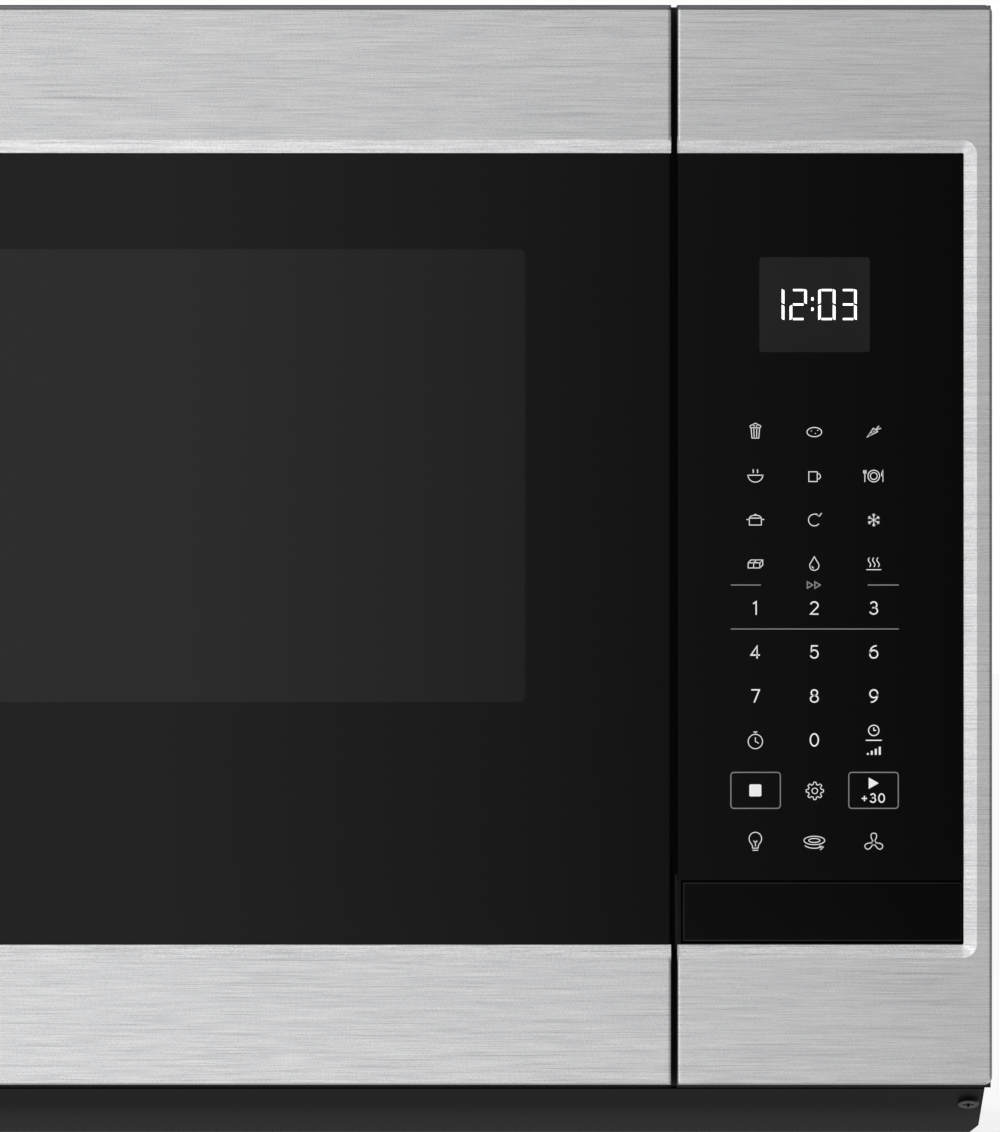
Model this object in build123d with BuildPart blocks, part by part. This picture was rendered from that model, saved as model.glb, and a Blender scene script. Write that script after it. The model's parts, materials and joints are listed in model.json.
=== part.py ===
from build123d import *
from math import atan2, cos, degrees, pi, radians, sin, sqrt
import os

os.makedirs("parts", exist_ok=True)

# Over-the-range microwave oven. Millimetres, +Z up, the front faces -Y,
# +X to the right as seen from the front, origin at the middle of the base.

# whole unit
unit_width = 758.8
unit_height = 435.0
unit_depth = 394.0
front_y = -unit_depth / 2
rear_y = unit_depth / 2
half_width = unit_width / 2

# face: door on the left, control panel on the right
panel_width = 120.6
panel_gap = 2.4
gap_flange = 1.0
gap_flange_reach = 4.4
panel_left = half_width - panel_width
door_right = panel_left - panel_gap
skin_drop = 0.4
skin_top = unit_height - skin_drop
skin_bottom = 20.8
skin_sheet = 0.6
skin_bend = 1.2
skin_corner = 3.0
skin_depth = 20.0
lip_width = 5.0
lip_corner = 5.5
lip_inner_corner = 0.6
glass_recess = 4.0
glass_side = 10.8
glass_right = half_width - glass_side
glass_left = -glass_right
top_band = 57.1
glass_top = unit_height - top_band
bottom_band = 53.6
glass_bottom = skin_bottom + bottom_band
glass_tuck = 3.0
glass_thickness = 3.2
glass_y = front_y + glass_recess
glass_back = glass_y + glass_thickness
window_side = 45.2
window_stile = 56.0
window_drop = 36.8
window_rise = 93.1
window_left = glass_left + window_side
window_right = door_right - window_stile
window_top = glass_top - window_drop
window_bottom = glass_bottom + window_rise

# plastic frames behind the skins
frame_top = unit_height
frame_reveal = 1.6
frame_bottom = skin_bottom - frame_reveal
frame_wall = 2.2
frame_plate = 2.5
plate_back = glass_back + frame_plate
rim_front = front_y + skin_depth
fit_gap = 0.3

# chassis
face_depth = 43.0
body_front = front_y + face_depth
chassis_sheet = 0.8
frame_back = body_front + chassis_sheet
wrap_inset = 1.9
wrap_drop = 3.0
wrap_rise = 0.2
wrap_half = half_width - wrap_inset
wrap_top = unit_height - wrap_drop
wrap_bottom = frame_bottom + wrap_rise
wrap_inner = wrap_half - chassis_sheet
wrap_ceiling = wrap_top - chassis_sheet
wall_space = 4.0
chassis_back = rear_y - wall_space
panel_sheet = 1.0
floor_top = wrap_bottom + panel_sheet
back_face = chassis_back - panel_sheet

# oven cavity
left_duct_width = 52.5
bay_offset = 54.4
cavity_rise = 72.6
cavity_headroom = 86.0
rear_space = 28.0
cavity_left = -wrap_half + left_duct_width
cavity_right = door_right - bay_offset
cavity_bottom = wrap_bottom + cavity_rise
cavity_top = wrap_top - cavity_headroom
cavity_back = chassis_back - rear_space
cavity_sheet = 0.8
cavity_corner = 6.0
lamp_inset = 60.0
lamp_box = 44.0
lamp_box_height = 30.0
bulb_radius = 8.0
lamp_holes = 5
hole_pitch = 6.0
vent_hole = 1.8
vent_hole_shift = 70.0
mica_sheet = 0.6
mica_border = 9.0
cavity_middle = (cavity_left + cavity_right) / 2
turntable_y = (frame_back + cavity_back) / 2

# door back: choke ring and window screen
door_clearance = 1.6
door_back = body_front - door_clearance
cover_sheet = 1.6
cover_front = door_back - cover_sheet
choke_land = 11.0
choke_groove = 16.0
choke_sheet = 0.8
choke_depth = 14.8
land_step = 0.4
screen_step = 4.8
choke_floor = cover_front - choke_depth
choke_face = door_back - land_step
screen_y = choke_face - screen_step
screen_margin = 2.0
film_thickness = 1.2
choke_slot = 5.0
choke_pitch = 24.0
cover_reach = 3.0
cover_inset = 1.0

# hinges
hinge_inset = 13.4
hinge_set = 27.0
hinge_x = -half_width + hinge_inset
hinge_y = front_y + hinge_set
pin_radius = 3.0
pin_clearance = 0.05
hinge_plate = 3.0
washer_thickness = 1.0
pin_length = 11.0
eye_radius = 6.0
arm_left = 0.5
arm_right = 12.0
corner_spare = 1.1
corner_radius = hinge_inset + corner_spare
lower_hinge_rise = 20.8
upper_hinge_drop = 27.0
lower_hinge_z = frame_bottom + lower_hinge_rise
upper_hinge_z = frame_top - upper_hinge_drop
notch_margin = 1.5
leaf_height = 34.0
leaf_width = 38.0

# latch
latch_inset = 15.4
latch_x = door_right - latch_inset
latch_width = 6.0
latch_travel = 4.0
latch_bar_depth = 12.0
hook_height = 9.0
nib_depth = 4.0
nib_length = 10.0
hook_reach = 22.0
hook_tip = body_front + hook_reach
lower_hook_rise = 30.6
upper_hook_drop = 23.4
bar_below = 10.6
bar_above = 29.4
lower_hook_z = cavity_bottom + lower_hook_rise
upper_hook_z = cavity_top - upper_hook_drop
bar_bottom = lower_hook_z - bar_below
bar_top = upper_hook_z + bar_above
slot_lift = 0.6
slot_swing = 2.2
slot_side = 0.7
latch_turns = 8
spring_length = 18.0
spring_radius = 3.0
spring_wire = 0.35
latch_face = 3.0
ear_gap = 1.5
switch_length = 28.0
switch_height = 16.0
switch_drop = 2.0
plunger_half = 1.0

# release button and its lever
button_side = 2.1
button_edge = 0.6
button_rise = 1.2
button_height = 22.8
button_left = panel_left + button_side
button_right = glass_right - button_edge
button_bottom = glass_bottom + button_rise
button_top = button_bottom + button_height
button_gap = 0.7
button_depth = 8.0
button_pocket = 17.0
button_floor = glass_y + button_pocket
button_turns = 5
pusher_inset = 3.1
pusher_rise = 8.4
pusher_size = 6.0
pusher_left = button_left + pusher_inset
pusher_right = pusher_left + pusher_size
pusher_low = button_bottom + pusher_rise
pusher_high = pusher_low + pusher_size
lever_set = 13.0
lever_below_hook = 16.6
lever_y = body_front + lever_set
lever_z = lower_hook_z - lever_below_hook
lever_pin = 2.0
lever_arm_half = 3.0
lever_foot = 2.0
bay_sill = 4.0
lever_reach = lever_z - pusher_low + lever_foot
lever_finger = 11.0
finger_gap = 3.0
lever_finger_top = lower_hook_z - nib_depth - latch_travel - finger_gap

# display and control board
display_inset = 31.5
display_width = 42.3
display_drop = 39.9
display_height = 36.4
display_x = (panel_left + display_inset, panel_left + display_inset + display_width)
display_z = (glass_top - display_drop - display_height, glass_top - display_drop)
display_bezel = 8.0
display_depth = 9.0
board_inset = 7.2
board_edge = 7.5
board_rise = 17.6
board_drop = 11.9
board_set = 15.3
board_x = (panel_left + board_inset, wrap_half - board_edge)
board_z = (button_top + board_rise, glass_top - board_drop)
board_y = plate_back + board_set
board_sheet = 1.6
relay_size = 18.0
relay_height = 14.0

# turntable
roller_radius = 7.0
roller_width = 6.0
roller_axle = 1.5
tray_clearance = 6.7
track_inset = 47.4
tray_radius = (cavity_back - frame_back) / 2 - tray_clearance
roller_track = tray_radius - track_inset
tray_thickness = 4.0
tray_rim = 10.0
rest_gap = 0.3
roller_z = cavity_bottom + rest_gap + roller_radius
tray_bottom = roller_z + roller_radius + rest_gap
motor_radius = 25.0
motor_height = 20.0
shaft_radius = 3.5
shaft_hole = 8.0
hub_radius = 9.0
lobe_length = 21.0
lobe_width = 7.0
lobe_height = 4.5
lobe_gap = 0.5
peg_inset = 5.25
peg_reach = lobe_length - peg_inset
motor_ear = 32.0
motor_step = 3.0
motor_bend = 1.0
collar_gap = 1.0
ring_bar = 4.0
ring_hub = 26.0

# exhaust, damper and blower
exhaust_width = 254.0
exhaust_depth = 82.6
exhaust_set = 60.0
exhaust_y = rear_y - exhaust_set
exhaust_wall = 1.2
exhaust_flange = 12.0
exhaust_neck = 11.0
exhaust_bottom = wrap_top - exhaust_neck
exhaust_screw_side = 6.6
exhaust_screw_step = 11.3
exhaust_screw_x = exhaust_width + 2 * exhaust_screw_side
exhaust_screw_y = exhaust_depth - 2 * exhaust_screw_step
exhaust_screw_radius = 1.6
flap_thickness = 1.2
flap_gap = 1.6
flap_drop = 1.6
flap_z = wrap_top - flap_drop
flap_pin = 1.5
blower_drop = 47.0
blower_z = wrap_top - blower_drop
blower_radius = 36.0
blower_wall = 1.5
wheel_radius = 29.5
wheel_width = 78.0
wheel_inner = 23.0
wheel_sheet = 0.8
wheel_blades = 24
scroll_inner = 36.0
scroll_width = 88.0
blower_shaft = 3.0
blower_motor_radius = 26.0
blower_motor_half = 25.0
blade_tilt = 25.0
flap_edge = 3.3

# top front vent
vent_inset = 46.6
vent_stile = 9.4
vent_rise = 11.1
vent_drop = 10.0
vent_left = glass_left + vent_inset
vent_right = door_right - vent_stile
vent_low = glass_top + vent_rise
vent_high = frame_top - vent_drop
vent_depth = 9.0
vent_slats = 4
vent_ribs = 5
vent_tilt = 30.0
vent_flange = 3.0
filter_cells = 6
filter_depth = 10.0

# sloped underside
pan_reveal = 0.3
pan_half = wrap_half + pan_reveal
pan_wall = 1.0
pan_draft = 1.9
slope_length = 41.0
slope_back = body_front + slope_length
pan_edge = 3.0
pan_lip = 1.0
grease_low = 0.4
mesh_border = 9.0
tab_reach = 4.0
lens_rest = 3.0
module_height = 6.0
dome_radius = 5.0
grease_set = 123.0
grease_y = slope_back + grease_set
grease_depth = 140.0
grease_height = 8.0
grease_gap = 1.5
lamp_x = 62.0
lamp_set = 51.0
lamp_y = slope_back + lamp_set
lens_width = 84.0
lens_depth = 44.0
lens_thickness = 3.0
filter_spacing = 31.0
filter_margin = 42.8
grease_inner = lamp_x + lens_width / 2 + filter_spacing
grease_outer = pan_half - filter_margin
grease_width = grease_outer - grease_inner
grease_x = (grease_inner + grease_outer) / 2

# wall plate and fastenings
plate_sheet = 1.5
plate_inset = 12.5
plate_rise = 2.6
plate_drop = 20.0
plate_half = wrap_half - plate_inset
plate_low = wrap_bottom + plate_rise
plate_high = wrap_top - plate_drop
wall_bolt_x = 406.4
wall_bolt_margin = 85.2
wall_bolt_z = plate_high - plate_low - wall_bolt_margin
wall_bolt_radius = 3.5
wall_bolt_shift = 2.0
wall_bolt_middle = (plate_low + plate_high) / 2 - wall_bolt_shift
top_bolt_x = 571.5
top_bolt_set = 94.0
top_bolt_y = body_front + top_bolt_set
top_bolt_radius = 4.0
screw_head = 4.2
screw_head_height = 1.5
screw_shank = 2.0
screw_hole = 2.1
slope_screw_inset = 6.1
slope_screw_drop = 6.5
slope_screw_x = pan_half - slope_screw_inset
slope_screw_z = wrap_bottom - slope_screw_drop

flange_depth = 13.0
flange_screw_set = 7.0
flange_front = chassis_back - flange_depth
flange_screw_y = chassis_back - flange_screw_set
low_screw_rise = 40.6
high_screw_drop = 32.0
low_screw_z = wrap_bottom + low_screw_rise
high_screw_z = wrap_top - high_screw_drop
side_screw_z = (low_screw_z, (low_screw_z + high_screw_z) / 2, high_screw_z)
left_screw_inset = 77.5
right_screw_inset = 137.5
top_screw_x = (left_screw_inset - wrap_half, wrap_half - right_screw_inset)
hook_inset = 115.0
hook_side_gap = 2.0
hook_low_rise = 18.0
hook_x = plate_half - hook_inset
hook_width = 12.0
hook_z_low = plate_low + hook_low_rise
hook_rise = 14.0
pad_edge = 35.0
pad_x = plate_half - pad_edge
pad_inset = 30.0
pad_radius = 14.0
plate_window_x = 150.0
plate_window_z = 100.0
grommet_inset = 57.5
grommet_set = 33.0
grommet_x = wrap_half - grommet_inset
grommet_y = chassis_back - grommet_set
grommet_radius = 10.0
grommet_hole = 5.5

# air ducts in the chassis floor
duct_border = 5.0
duct_set = 3.0
duct_rear_space = 43.0
right_duct_inset = 35.5
duct_front = slope_back + duct_set
duct_back = chassis_back - duct_rear_space
right_duct = wrap_half - right_duct_inset

# component bay
guide_left = cavity_right + cavity_sheet
guide_width = 90.0
guide_depth = 36.0
guide_rise = 118.0
guide_drop = 11.0
guide_low = cavity_bottom + guide_rise
guide_high = cavity_top - guide_drop
port_height = 60.0
port_width = 82.0
antenna_radius = 7.5
yoke_length = 60.0
yoke_width = 92.0
yoke_height = 78.0
yoke_sheet = 1.6
anode_radius = 19.0
magnet_radius = 27.0
magnet_height = 11.0
fin_count = 6
fin_sheet = 0.6
filter_box = 22.0
terminal_length = 8.0
terminal_width = 6.0
core_inset = 19.2
core_set = 84.0
core_left = guide_left + core_inset
core_length = 102.0
core_front = body_front + core_set
core_depth = 60.0
core_height = 84.0
core_foot = 2.0
winding_clearance = 1.0
primary_height = 20.0
winding_step = 4.0
foot_reach = 6.0
can_inset = 65.2
can_set = 136.0
can_x = guide_left + can_inset
can_y = core_front + can_set
can_length = 52.0
can_width = 32.0
can_height = 92.0
filter_foot = 6.0
filter_board_inset = 15.2
filter_board_set = 7.2
filter_board_x = guide_left + filter_board_inset
filter_board_y = frame_back + filter_board_set
filter_board_size = 60.0
choke_inset = 19.5
film_can_inset = 6.0
film_can_length = 15.0
film_can_width = 9.0
fuse_inset = 9.0
cutout_radius = 8.0
cutout_height = 6.0
fan_rear_space = 75.0
fan_front = chassis_back - fan_rear_space
fan_radius = 50.0
fan_gap = 1.5
fan_hub = 11.0
fan_hub_depth = 16.0
fan_blades = 7
fan_pitch = 35.0
fan_blade_width = 24.0
fan_blade_sheet = 1.2
fan_shaft = 2.0
fan_motor_half = 26.0
fan_motor_depth = 22.0
shroud_half = 60.0
shroud_depth = 22.0
bridge_depth = 2.0


def facing(y):
    """Sketch plane seen from the front, at depth y."""
    return Plane.XZ.offset(-y)


def middle(span):
    return (span[0] + span[1]) / 2


def block(x_span, y_span, z_span, mode=Mode.ADD):
    """Box between two limits on each axis, in the part being built."""
    with Locations((middle(x_span), middle(y_span), middle(z_span))):
        Box(
            x_span[1] - x_span[0],
            y_span[1] - y_span[0],
            z_span[1] - z_span[0],
            mode=mode,
        )


def rod(radius, start, end, mode=Mode.ADD):
    """Straight round bar between two points, in the part being built."""
    line = Vector(*end) - Vector(*start)
    with BuildSketch(Plane(origin=start, z_dir=line)) as section:
        Circle(radius)
    extrude(section.sketch, amount=line.length, mode=mode)


def spans(x_span, z_span, grow=0.0):
    """A front-view rectangle as two spans, grown on all sides."""
    return (x_span[0] - grow, x_span[1] + grow), (z_span[0] - grow, z_span[1] + grow)


def coil(plane, coil_radius, wire_radius, turns, length):
    """Round-wire spring along a plane's normal: quarter turns on one path."""
    pitch = length / turns
    print("spring least gap", round(pitch - 2 * wire_radius, 2))
    with BuildPart() as spring:
        with BuildLine(plane) as path:
            for quarter in range(4 * turns):
                points = []
                for step in (0, 0.5, 1):
                    turn = (quarter + step) / 4
                    angle = 2 * pi * turn
                    points.append((coil_radius * cos(angle), coil_radius * sin(angle), pitch * turn))
                ThreePointArc(*points)
        with BuildSketch(Plane(origin=path.line @ 0, z_dir=path.line % 0)):
            Circle(wire_radius)
        sweep(path=path.line)
    return spring.part


def screw(place):
    """Pan-head screw with a cross recess, its head standing on a plane."""
    recess = screw_head_height / 2
    with BuildSketch(place) as head:
        Circle(screw_head)
    extrude(head.sketch, amount=screw_head_height, taper=12)
    with BuildSketch(place.offset(screw_head_height - recess)) as cross:
        Rectangle(screw_head, screw_shank / 2)
        Rectangle(screw_shank / 2, screw_head)
    extrude(cross.sketch, amount=screw_head_height, mode=Mode.SUBTRACT)
    with BuildSketch(place) as shank:
        Circle(screw_shank)
    extrude(shank.sketch, amount=-3 * screw_shank)


# skins
def recessed_skin(left, right, closed_right):
    """Folded stainless skin: a band above and below the glass, closed on one side."""
    past = 3 * lip_width
    lip_left = left - past if closed_right else glass_left
    lip_right = glass_right if closed_right else right + past
    opening = ((lip_left, lip_right), (glass_bottom, glass_top))
    lip_wall = 2 * skin_sheet
    with BuildPart() as skin:
        with BuildSketch(facing(front_y)) as outline:
            with Locations(((left + right) / 2, (skin_bottom + skin_top) / 2)):
                Rectangle(right - left, skin_top - skin_bottom)
            ends = outline.vertices().group_by(Axis.X)
            fillet(ends[-1] if closed_right else ends[0], skin_corner)
        extrude(amount=-skin_depth)
        fillet(skin.faces().sort_by(Axis.Y)[0].edges(), skin_bend)
        offset(amount=-skin_sheet, openings=skin.faces().sort_by(Axis.Y)[-1])
        for grow, depth, mode in ((lip_wall, skin_sheet, Mode.ADD), (0, 0, Mode.SUBTRACT)):
            for y, extra, corner in (
                (front_y + depth, lip_width, lip_corner),
                (glass_y, 0, lip_inner_corner),
            ):
                x_span, z_span = spans(*opening, grow + extra)
                with BuildSketch(facing(y)):
                    with Locations((middle(x_span), middle(z_span))):
                        RectangleRounded(
                            x_span[1] - x_span[0], z_span[1] - z_span[0], corner + grow
                        )
            loft(ruled=True, mode=mode)
        open_span = (left - 2 * past, left) if closed_right else (right, right + 2 * past)
        block(open_span, (front_y, rear_y), (0, unit_height), Mode.SUBTRACT)
        flange = skin_bend + skin_sheet
        edge_span = (left, left + flange) if closed_right else (right - flange, right)
        tuck_z = (glass_bottom - glass_tuck, glass_top + glass_tuck)
        block(edge_span, (glass_y, rear_y), tuck_z, Mode.SUBTRACT)
    return skin.part


door_skin = recessed_skin(-half_width, door_right, False)
door_skin.label = "door_skin"
export_step(door_skin, "parts/door_skin.step")

panel_skin = recessed_skin(panel_left, half_width, True)
panel_skin.label = "panel_skin"
export_step(panel_skin, "parts/panel_skin.step")

# door
with BuildPart() as door_glass:
    block(
        (glass_left - glass_tuck, door_right),
        (glass_y, glass_back),
        (glass_bottom - glass_tuck, glass_top + glass_tuck),
    )
    chamfer(door_glass.faces().sort_by(Axis.Y)[0].edges().sort_by(Axis.X)[-1], skin_sheet)
door_glass.part.label = "door_glass"
export_step(door_glass.part, "parts/door_glass.step")

choke_span_x = (cavity_left - choke_land - choke_groove, cavity_right + choke_land + choke_groove)
choke_span_z = (cavity_bottom - choke_land - choke_groove, cavity_top + choke_land + choke_groove)
land_span_x = (cavity_left - choke_land, cavity_right + choke_land)
land_span_z = (cavity_bottom - choke_land, cavity_top + choke_land)
screen_span_x = (cavity_left + screen_margin, cavity_right - screen_margin)
screen_span_z = (cavity_bottom + screen_margin, cavity_top - screen_margin)
hinge_levels = (lower_hinge_z, upper_hinge_z)
hook_levels = (lower_hook_z, upper_hook_z)
latch_span = (latch_x - latch_width / 2, latch_x + latch_width / 2)
slot_span = (latch_span[0] - slot_side, latch_span[1] + slot_swing)
bar_front = plate_back + fit_gap


def hook_slot(hook_z):
    """Height of the slot that one hook passes through, with room to drop."""
    return (hook_z - nib_depth - slot_lift, hook_z + hook_height + 2 * slot_lift)


def door_plan(level, wall):
    """Door outline from above behind the skin; its rear left corner turns about the hinge."""
    left = -half_width + wall
    right = door_right - wall
    radius = corner_radius - wall
    side = sqrt(radius**2 - (hinge_x - left) ** 2)
    back = cover_front - hinge_y
    reach = sqrt(radius**2 - back**2) if radius > back else 0
    start = (left, hinge_y + side)
    end = (hinge_x - reach, hinge_y + min(back, radius))
    turn = (atan2(side, left - hinge_x) + atan2(end[1] - hinge_y, -reach)) / 2
    between = (hinge_x + radius * cos(turn), hinge_y + radius * sin(turn))
    with BuildSketch(Plane.XY.offset(level)) as plan:
        with BuildLine():
            Polyline(start, (left, rim_front), (right, rim_front), (right, cover_front))
            Line((right, cover_front), (end[0], cover_front))
            if end[1] < cover_front:
                Line((end[0], cover_front), end)
            ThreePointArc(end, between, start)
        make_face()
    return plan.sketch


with BuildPart() as door_frame:
    block(
        (-half_width + skin_sheet + fit_gap, door_right - skin_sheet - fit_gap),
        (glass_back, rim_front),
        (skin_bottom + skin_sheet + fit_gap, skin_top - skin_sheet - fit_gap),
    )
    fillet(door_frame.edges().filter_by(Axis.Y).group_by(Axis.X)[0], skin_corner)
    extrude(door_plan(frame_bottom, 0), amount=frame_top - frame_bottom)
    inner_walls = 2 * frame_wall
    block(
        (-half_width + inner_walls, door_right - inner_walls),
        (plate_back, rim_front),
        (frame_bottom + inner_walls, frame_top - inner_walls),
        Mode.SUBTRACT,
    )
    hollow = door_plan(frame_bottom + frame_wall, frame_wall)
    extrude(hollow, amount=frame_top - frame_bottom - 2 * frame_wall, mode=Mode.SUBTRACT)
    # ring that carries the choke, joined to the front plate
    block(choke_span_x, (plate_back, choke_floor), choke_span_z)
    block(
        (choke_span_x[0] + frame_wall, choke_span_x[1] - frame_wall),
        (plate_back, choke_floor),
        (choke_span_z[0] + frame_wall, choke_span_z[1] - frame_wall),
        Mode.SUBTRACT,
    )
    # opening behind the window
    block(
        (window_left - inner_walls, window_right + inner_walls),
        (glass_back, plate_back),
        (window_bottom - inner_walls, window_top + inner_walls),
        Mode.SUBTRACT,
    )
    # guide ribs of the latch bar, and the stop above its spring
    for rib_z in (bar_bottom + 3 * hook_height, bar_top - 3 * hook_height):
        for side in (-1, 1):
            near = latch_x + side * (latch_width / 2 + fit_gap)
            far = near + side * frame_wall
            block(
                (min(near, far), max(near, far)),
                (plate_back, bar_front + latch_bar_depth),
                (rib_z - 2 * hook_height, rib_z + hook_height),
            )
    stop_z = bar_top + spring_length
    block(
        (latch_span[0] - frame_wall, latch_span[1] + frame_wall),
        (plate_back, bar_front + latch_bar_depth),
        (stop_z, stop_z + frame_wall),
    )
    # slots through which the hinge arms reach the pins
    for level in hinge_levels:
        block(
            (-half_width, choke_span_x[0]),
            (hinge_y - eye_radius / 2, cover_front),
            (level - notch_margin, level + hinge_plate + notch_margin / 2),
            Mode.SUBTRACT,
        )
door_frame.part.label = "door_frame"
export_step(door_frame.part, "parts/door_frame.step")

with BuildPart() as door_choke:
    # groove wall and floor, sealing land, and the recessed window screen
    block(choke_span_x, (choke_floor, cover_front), choke_span_z)
    block(
        (choke_span_x[0] + choke_sheet, choke_span_x[1] - choke_sheet),
        (choke_floor + choke_sheet, cover_front),
        (choke_span_z[0] + choke_sheet, choke_span_z[1] - choke_sheet),
        Mode.SUBTRACT,
    )
    block(land_span_x, (choke_floor, choke_face), land_span_z)
    block(
        (land_span_x[0] + choke_sheet, land_span_x[1] - choke_sheet),
        (choke_floor, choke_face - choke_sheet),
        (land_span_z[0] + choke_sheet, land_span_z[1] - choke_sheet),
        Mode.SUBTRACT,
    )
    block(
        (screen_span_x[0] - choke_sheet, screen_span_x[1] + choke_sheet),
        (screen_y, choke_face),
        (screen_span_z[0] - choke_sheet, screen_span_z[1] + choke_sheet),
    )
    block(
        screen_span_x, (screen_y + choke_sheet, choke_face), screen_span_z, Mode.SUBTRACT
    )
    # fingers of the choke wall
    slot_y = (choke_floor + 4 * choke_sheet, cover_front)
    across = int((choke_span_x[1] - choke_span_x[0]) / choke_pitch) - 1
    upright = int((choke_span_z[1] - choke_span_z[0]) / choke_pitch) - 1
    with BuildSketch(facing(cover_front)):
        for z_edge in choke_span_z:
            with Locations((middle(choke_span_x), z_edge)):
                with GridLocations(choke_pitch, 1, across, 1):
                    Rectangle(choke_slot, 2 * choke_sheet)
        for x_edge in choke_span_x:
            with Locations((x_edge, middle(choke_span_z))):
                with GridLocations(1, choke_pitch, 1, upright):
                    Rectangle(2 * choke_sheet, choke_slot)
    extrude(amount=slot_y[1] - slot_y[0], mode=Mode.SUBTRACT)
door_choke.part.label = "door_choke"
export_step(door_choke.part, "parts/door_choke.step")

with BuildPart() as inner_window:
    block(
        (screen_span_x[0] + fit_gap, screen_span_x[1] - fit_gap),
        (screen_y + choke_sheet, screen_y + choke_sheet + film_thickness),
        (screen_span_z[0] + fit_gap, screen_span_z[1] - fit_gap),
    )
inner_window.part.label = "inner_window"
export_step(inner_window.part, "parts/inner_window.step")

with BuildPart() as choke_cover:
    # ring over the door's back, with slots for the hooks and the hinge arms
    block(
        (hinge_x - cover_reach, door_right - cover_inset),
        (cover_front, door_back),
        (frame_bottom + cover_inset, frame_top - cover_inset),
    )
    fillet(choke_cover.edges().filter_by(Axis.Y), skin_corner)
    block(
        (land_span_x[0] - fit_gap, land_span_x[1] + fit_gap),
        (cover_front, door_back),
        (land_span_z[0] - fit_gap, land_span_z[1] + fit_gap),
        Mode.SUBTRACT,
    )
    for hook_z in hook_levels:
        block(slot_span, (cover_front, door_back), hook_slot(hook_z), Mode.SUBTRACT)
    for level in hinge_levels:
        block(
            (-half_width, choke_span_x[0]),
            (cover_front, door_back),
            (level - notch_margin, level + hinge_plate + notch_margin / 2),
            Mode.SUBTRACT,
        )
    # ribs that snap into the choke groove
    rib_x = (land_span_x[0] - choke_groove / 2, land_span_x[1] + choke_groove / 2)
    rib_z = (land_span_z[0] - choke_groove / 2, land_span_z[1] + choke_groove / 2)
    rib_y = (cover_front - 3 * cover_sheet, cover_front)
    for share in (-1, 0, 1):
        x_place = middle(land_span_x) + share * (land_span_x[1] - land_span_x[0]) / 3
        z_place = middle(land_span_z) + share * (land_span_z[1] - land_span_z[0]) / 3
        for level in rib_z:
            block(
                (x_place - choke_groove, x_place + choke_groove),
                rib_y,
                (level - cover_sheet / 2, level + cover_sheet / 2),
            )
        for place in rib_x:
            block(
                (place - cover_sheet / 2, place + cover_sheet / 2),
                rib_y,
                (z_place - choke_groove, z_place + choke_groove),
            )
choke_cover.part.label = "choke_cover"
export_step(choke_cover.part, "parts/choke_cover.step")

# latch on the door
with BuildPart() as latch_hooks:
    block(latch_span, (bar_front, bar_front + latch_bar_depth), (bar_bottom, bar_top))
    for hook_z in hook_levels:
        block(latch_span, (bar_front, hook_tip), (hook_z, hook_z + hook_height))
        with BuildSketch(Plane.YZ.offset(latch_span[0])):
            with BuildLine():
                Polyline(
                    (hook_tip - nib_length, hook_z),
                    (hook_tip - nib_length, hook_z - nib_depth),
                    (hook_tip - nib_length / 2, hook_z - nib_depth),
                    (hook_tip, hook_z),
                    close=True,
                )
            make_face()
        extrude(amount=latch_width)
latch_hooks.part.label = "latch_hooks"
export_step(latch_hooks.part, "parts/latch_hooks.step")

spring_y = bar_front + latch_bar_depth / 2
latch_spring = coil(
    Plane(origin=(latch_x, spring_y, bar_top + spring_wire)),
    spring_radius,
    spring_wire,
    latch_turns,
    spring_length - 2 * spring_wire,
)
latch_spring.label = "latch_spring"
export_step(latch_spring, "parts/latch_spring.step")

# hinges
with BuildPart() as door_hinge_plates:
    for level, rise in zip(hinge_levels, (1, -1)):
        low = level + hinge_plate + washer_thickness
        leaf_right = choke_span_x[0] - fit_gap
        with BuildSketch(Plane.XY.offset(low)):
            with Locations((hinge_x, hinge_y)):
                Circle(eye_radius)
            with BuildLine():
                Polyline(
                    (hinge_x - eye_radius, hinge_y),
                    (hinge_x - eye_radius, plate_back),
                    (leaf_right, plate_back),
                    (leaf_right, hinge_y),
                    (hinge_x, hinge_y + eye_radius),
                    close=True,
                )
            make_face()
            with Locations((hinge_x, hinge_y)):
                Circle(pin_radius + pin_clearance, mode=Mode.SUBTRACT)
        extrude(amount=hinge_plate)
        leaf = (low, low + leaf_height)
        if rise < 0:
            leaf = (low + hinge_plate - leaf_height, low + hinge_plate)
        block(
            (hinge_x - eye_radius, leaf_right), (plate_back, plate_back + hinge_plate), leaf
        )
door_hinge_plates.part.label = "door_hinge_plates"
export_step(door_hinge_plates.part, "parts/door_hinge_plates.step")

with BuildPart() as hinge_washers:
    for level in hinge_levels:
        with BuildSketch(Plane.XY.offset(level + hinge_plate)):
            with Locations((hinge_x, hinge_y)):
                Circle(eye_radius)
                Circle(pin_radius + pin_clearance, mode=Mode.SUBTRACT)
        extrude(amount=washer_thickness)
hinge_washers.part.label = "hinge_washers"
export_step(hinge_washers.part, "parts/hinge_washers.step")

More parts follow.
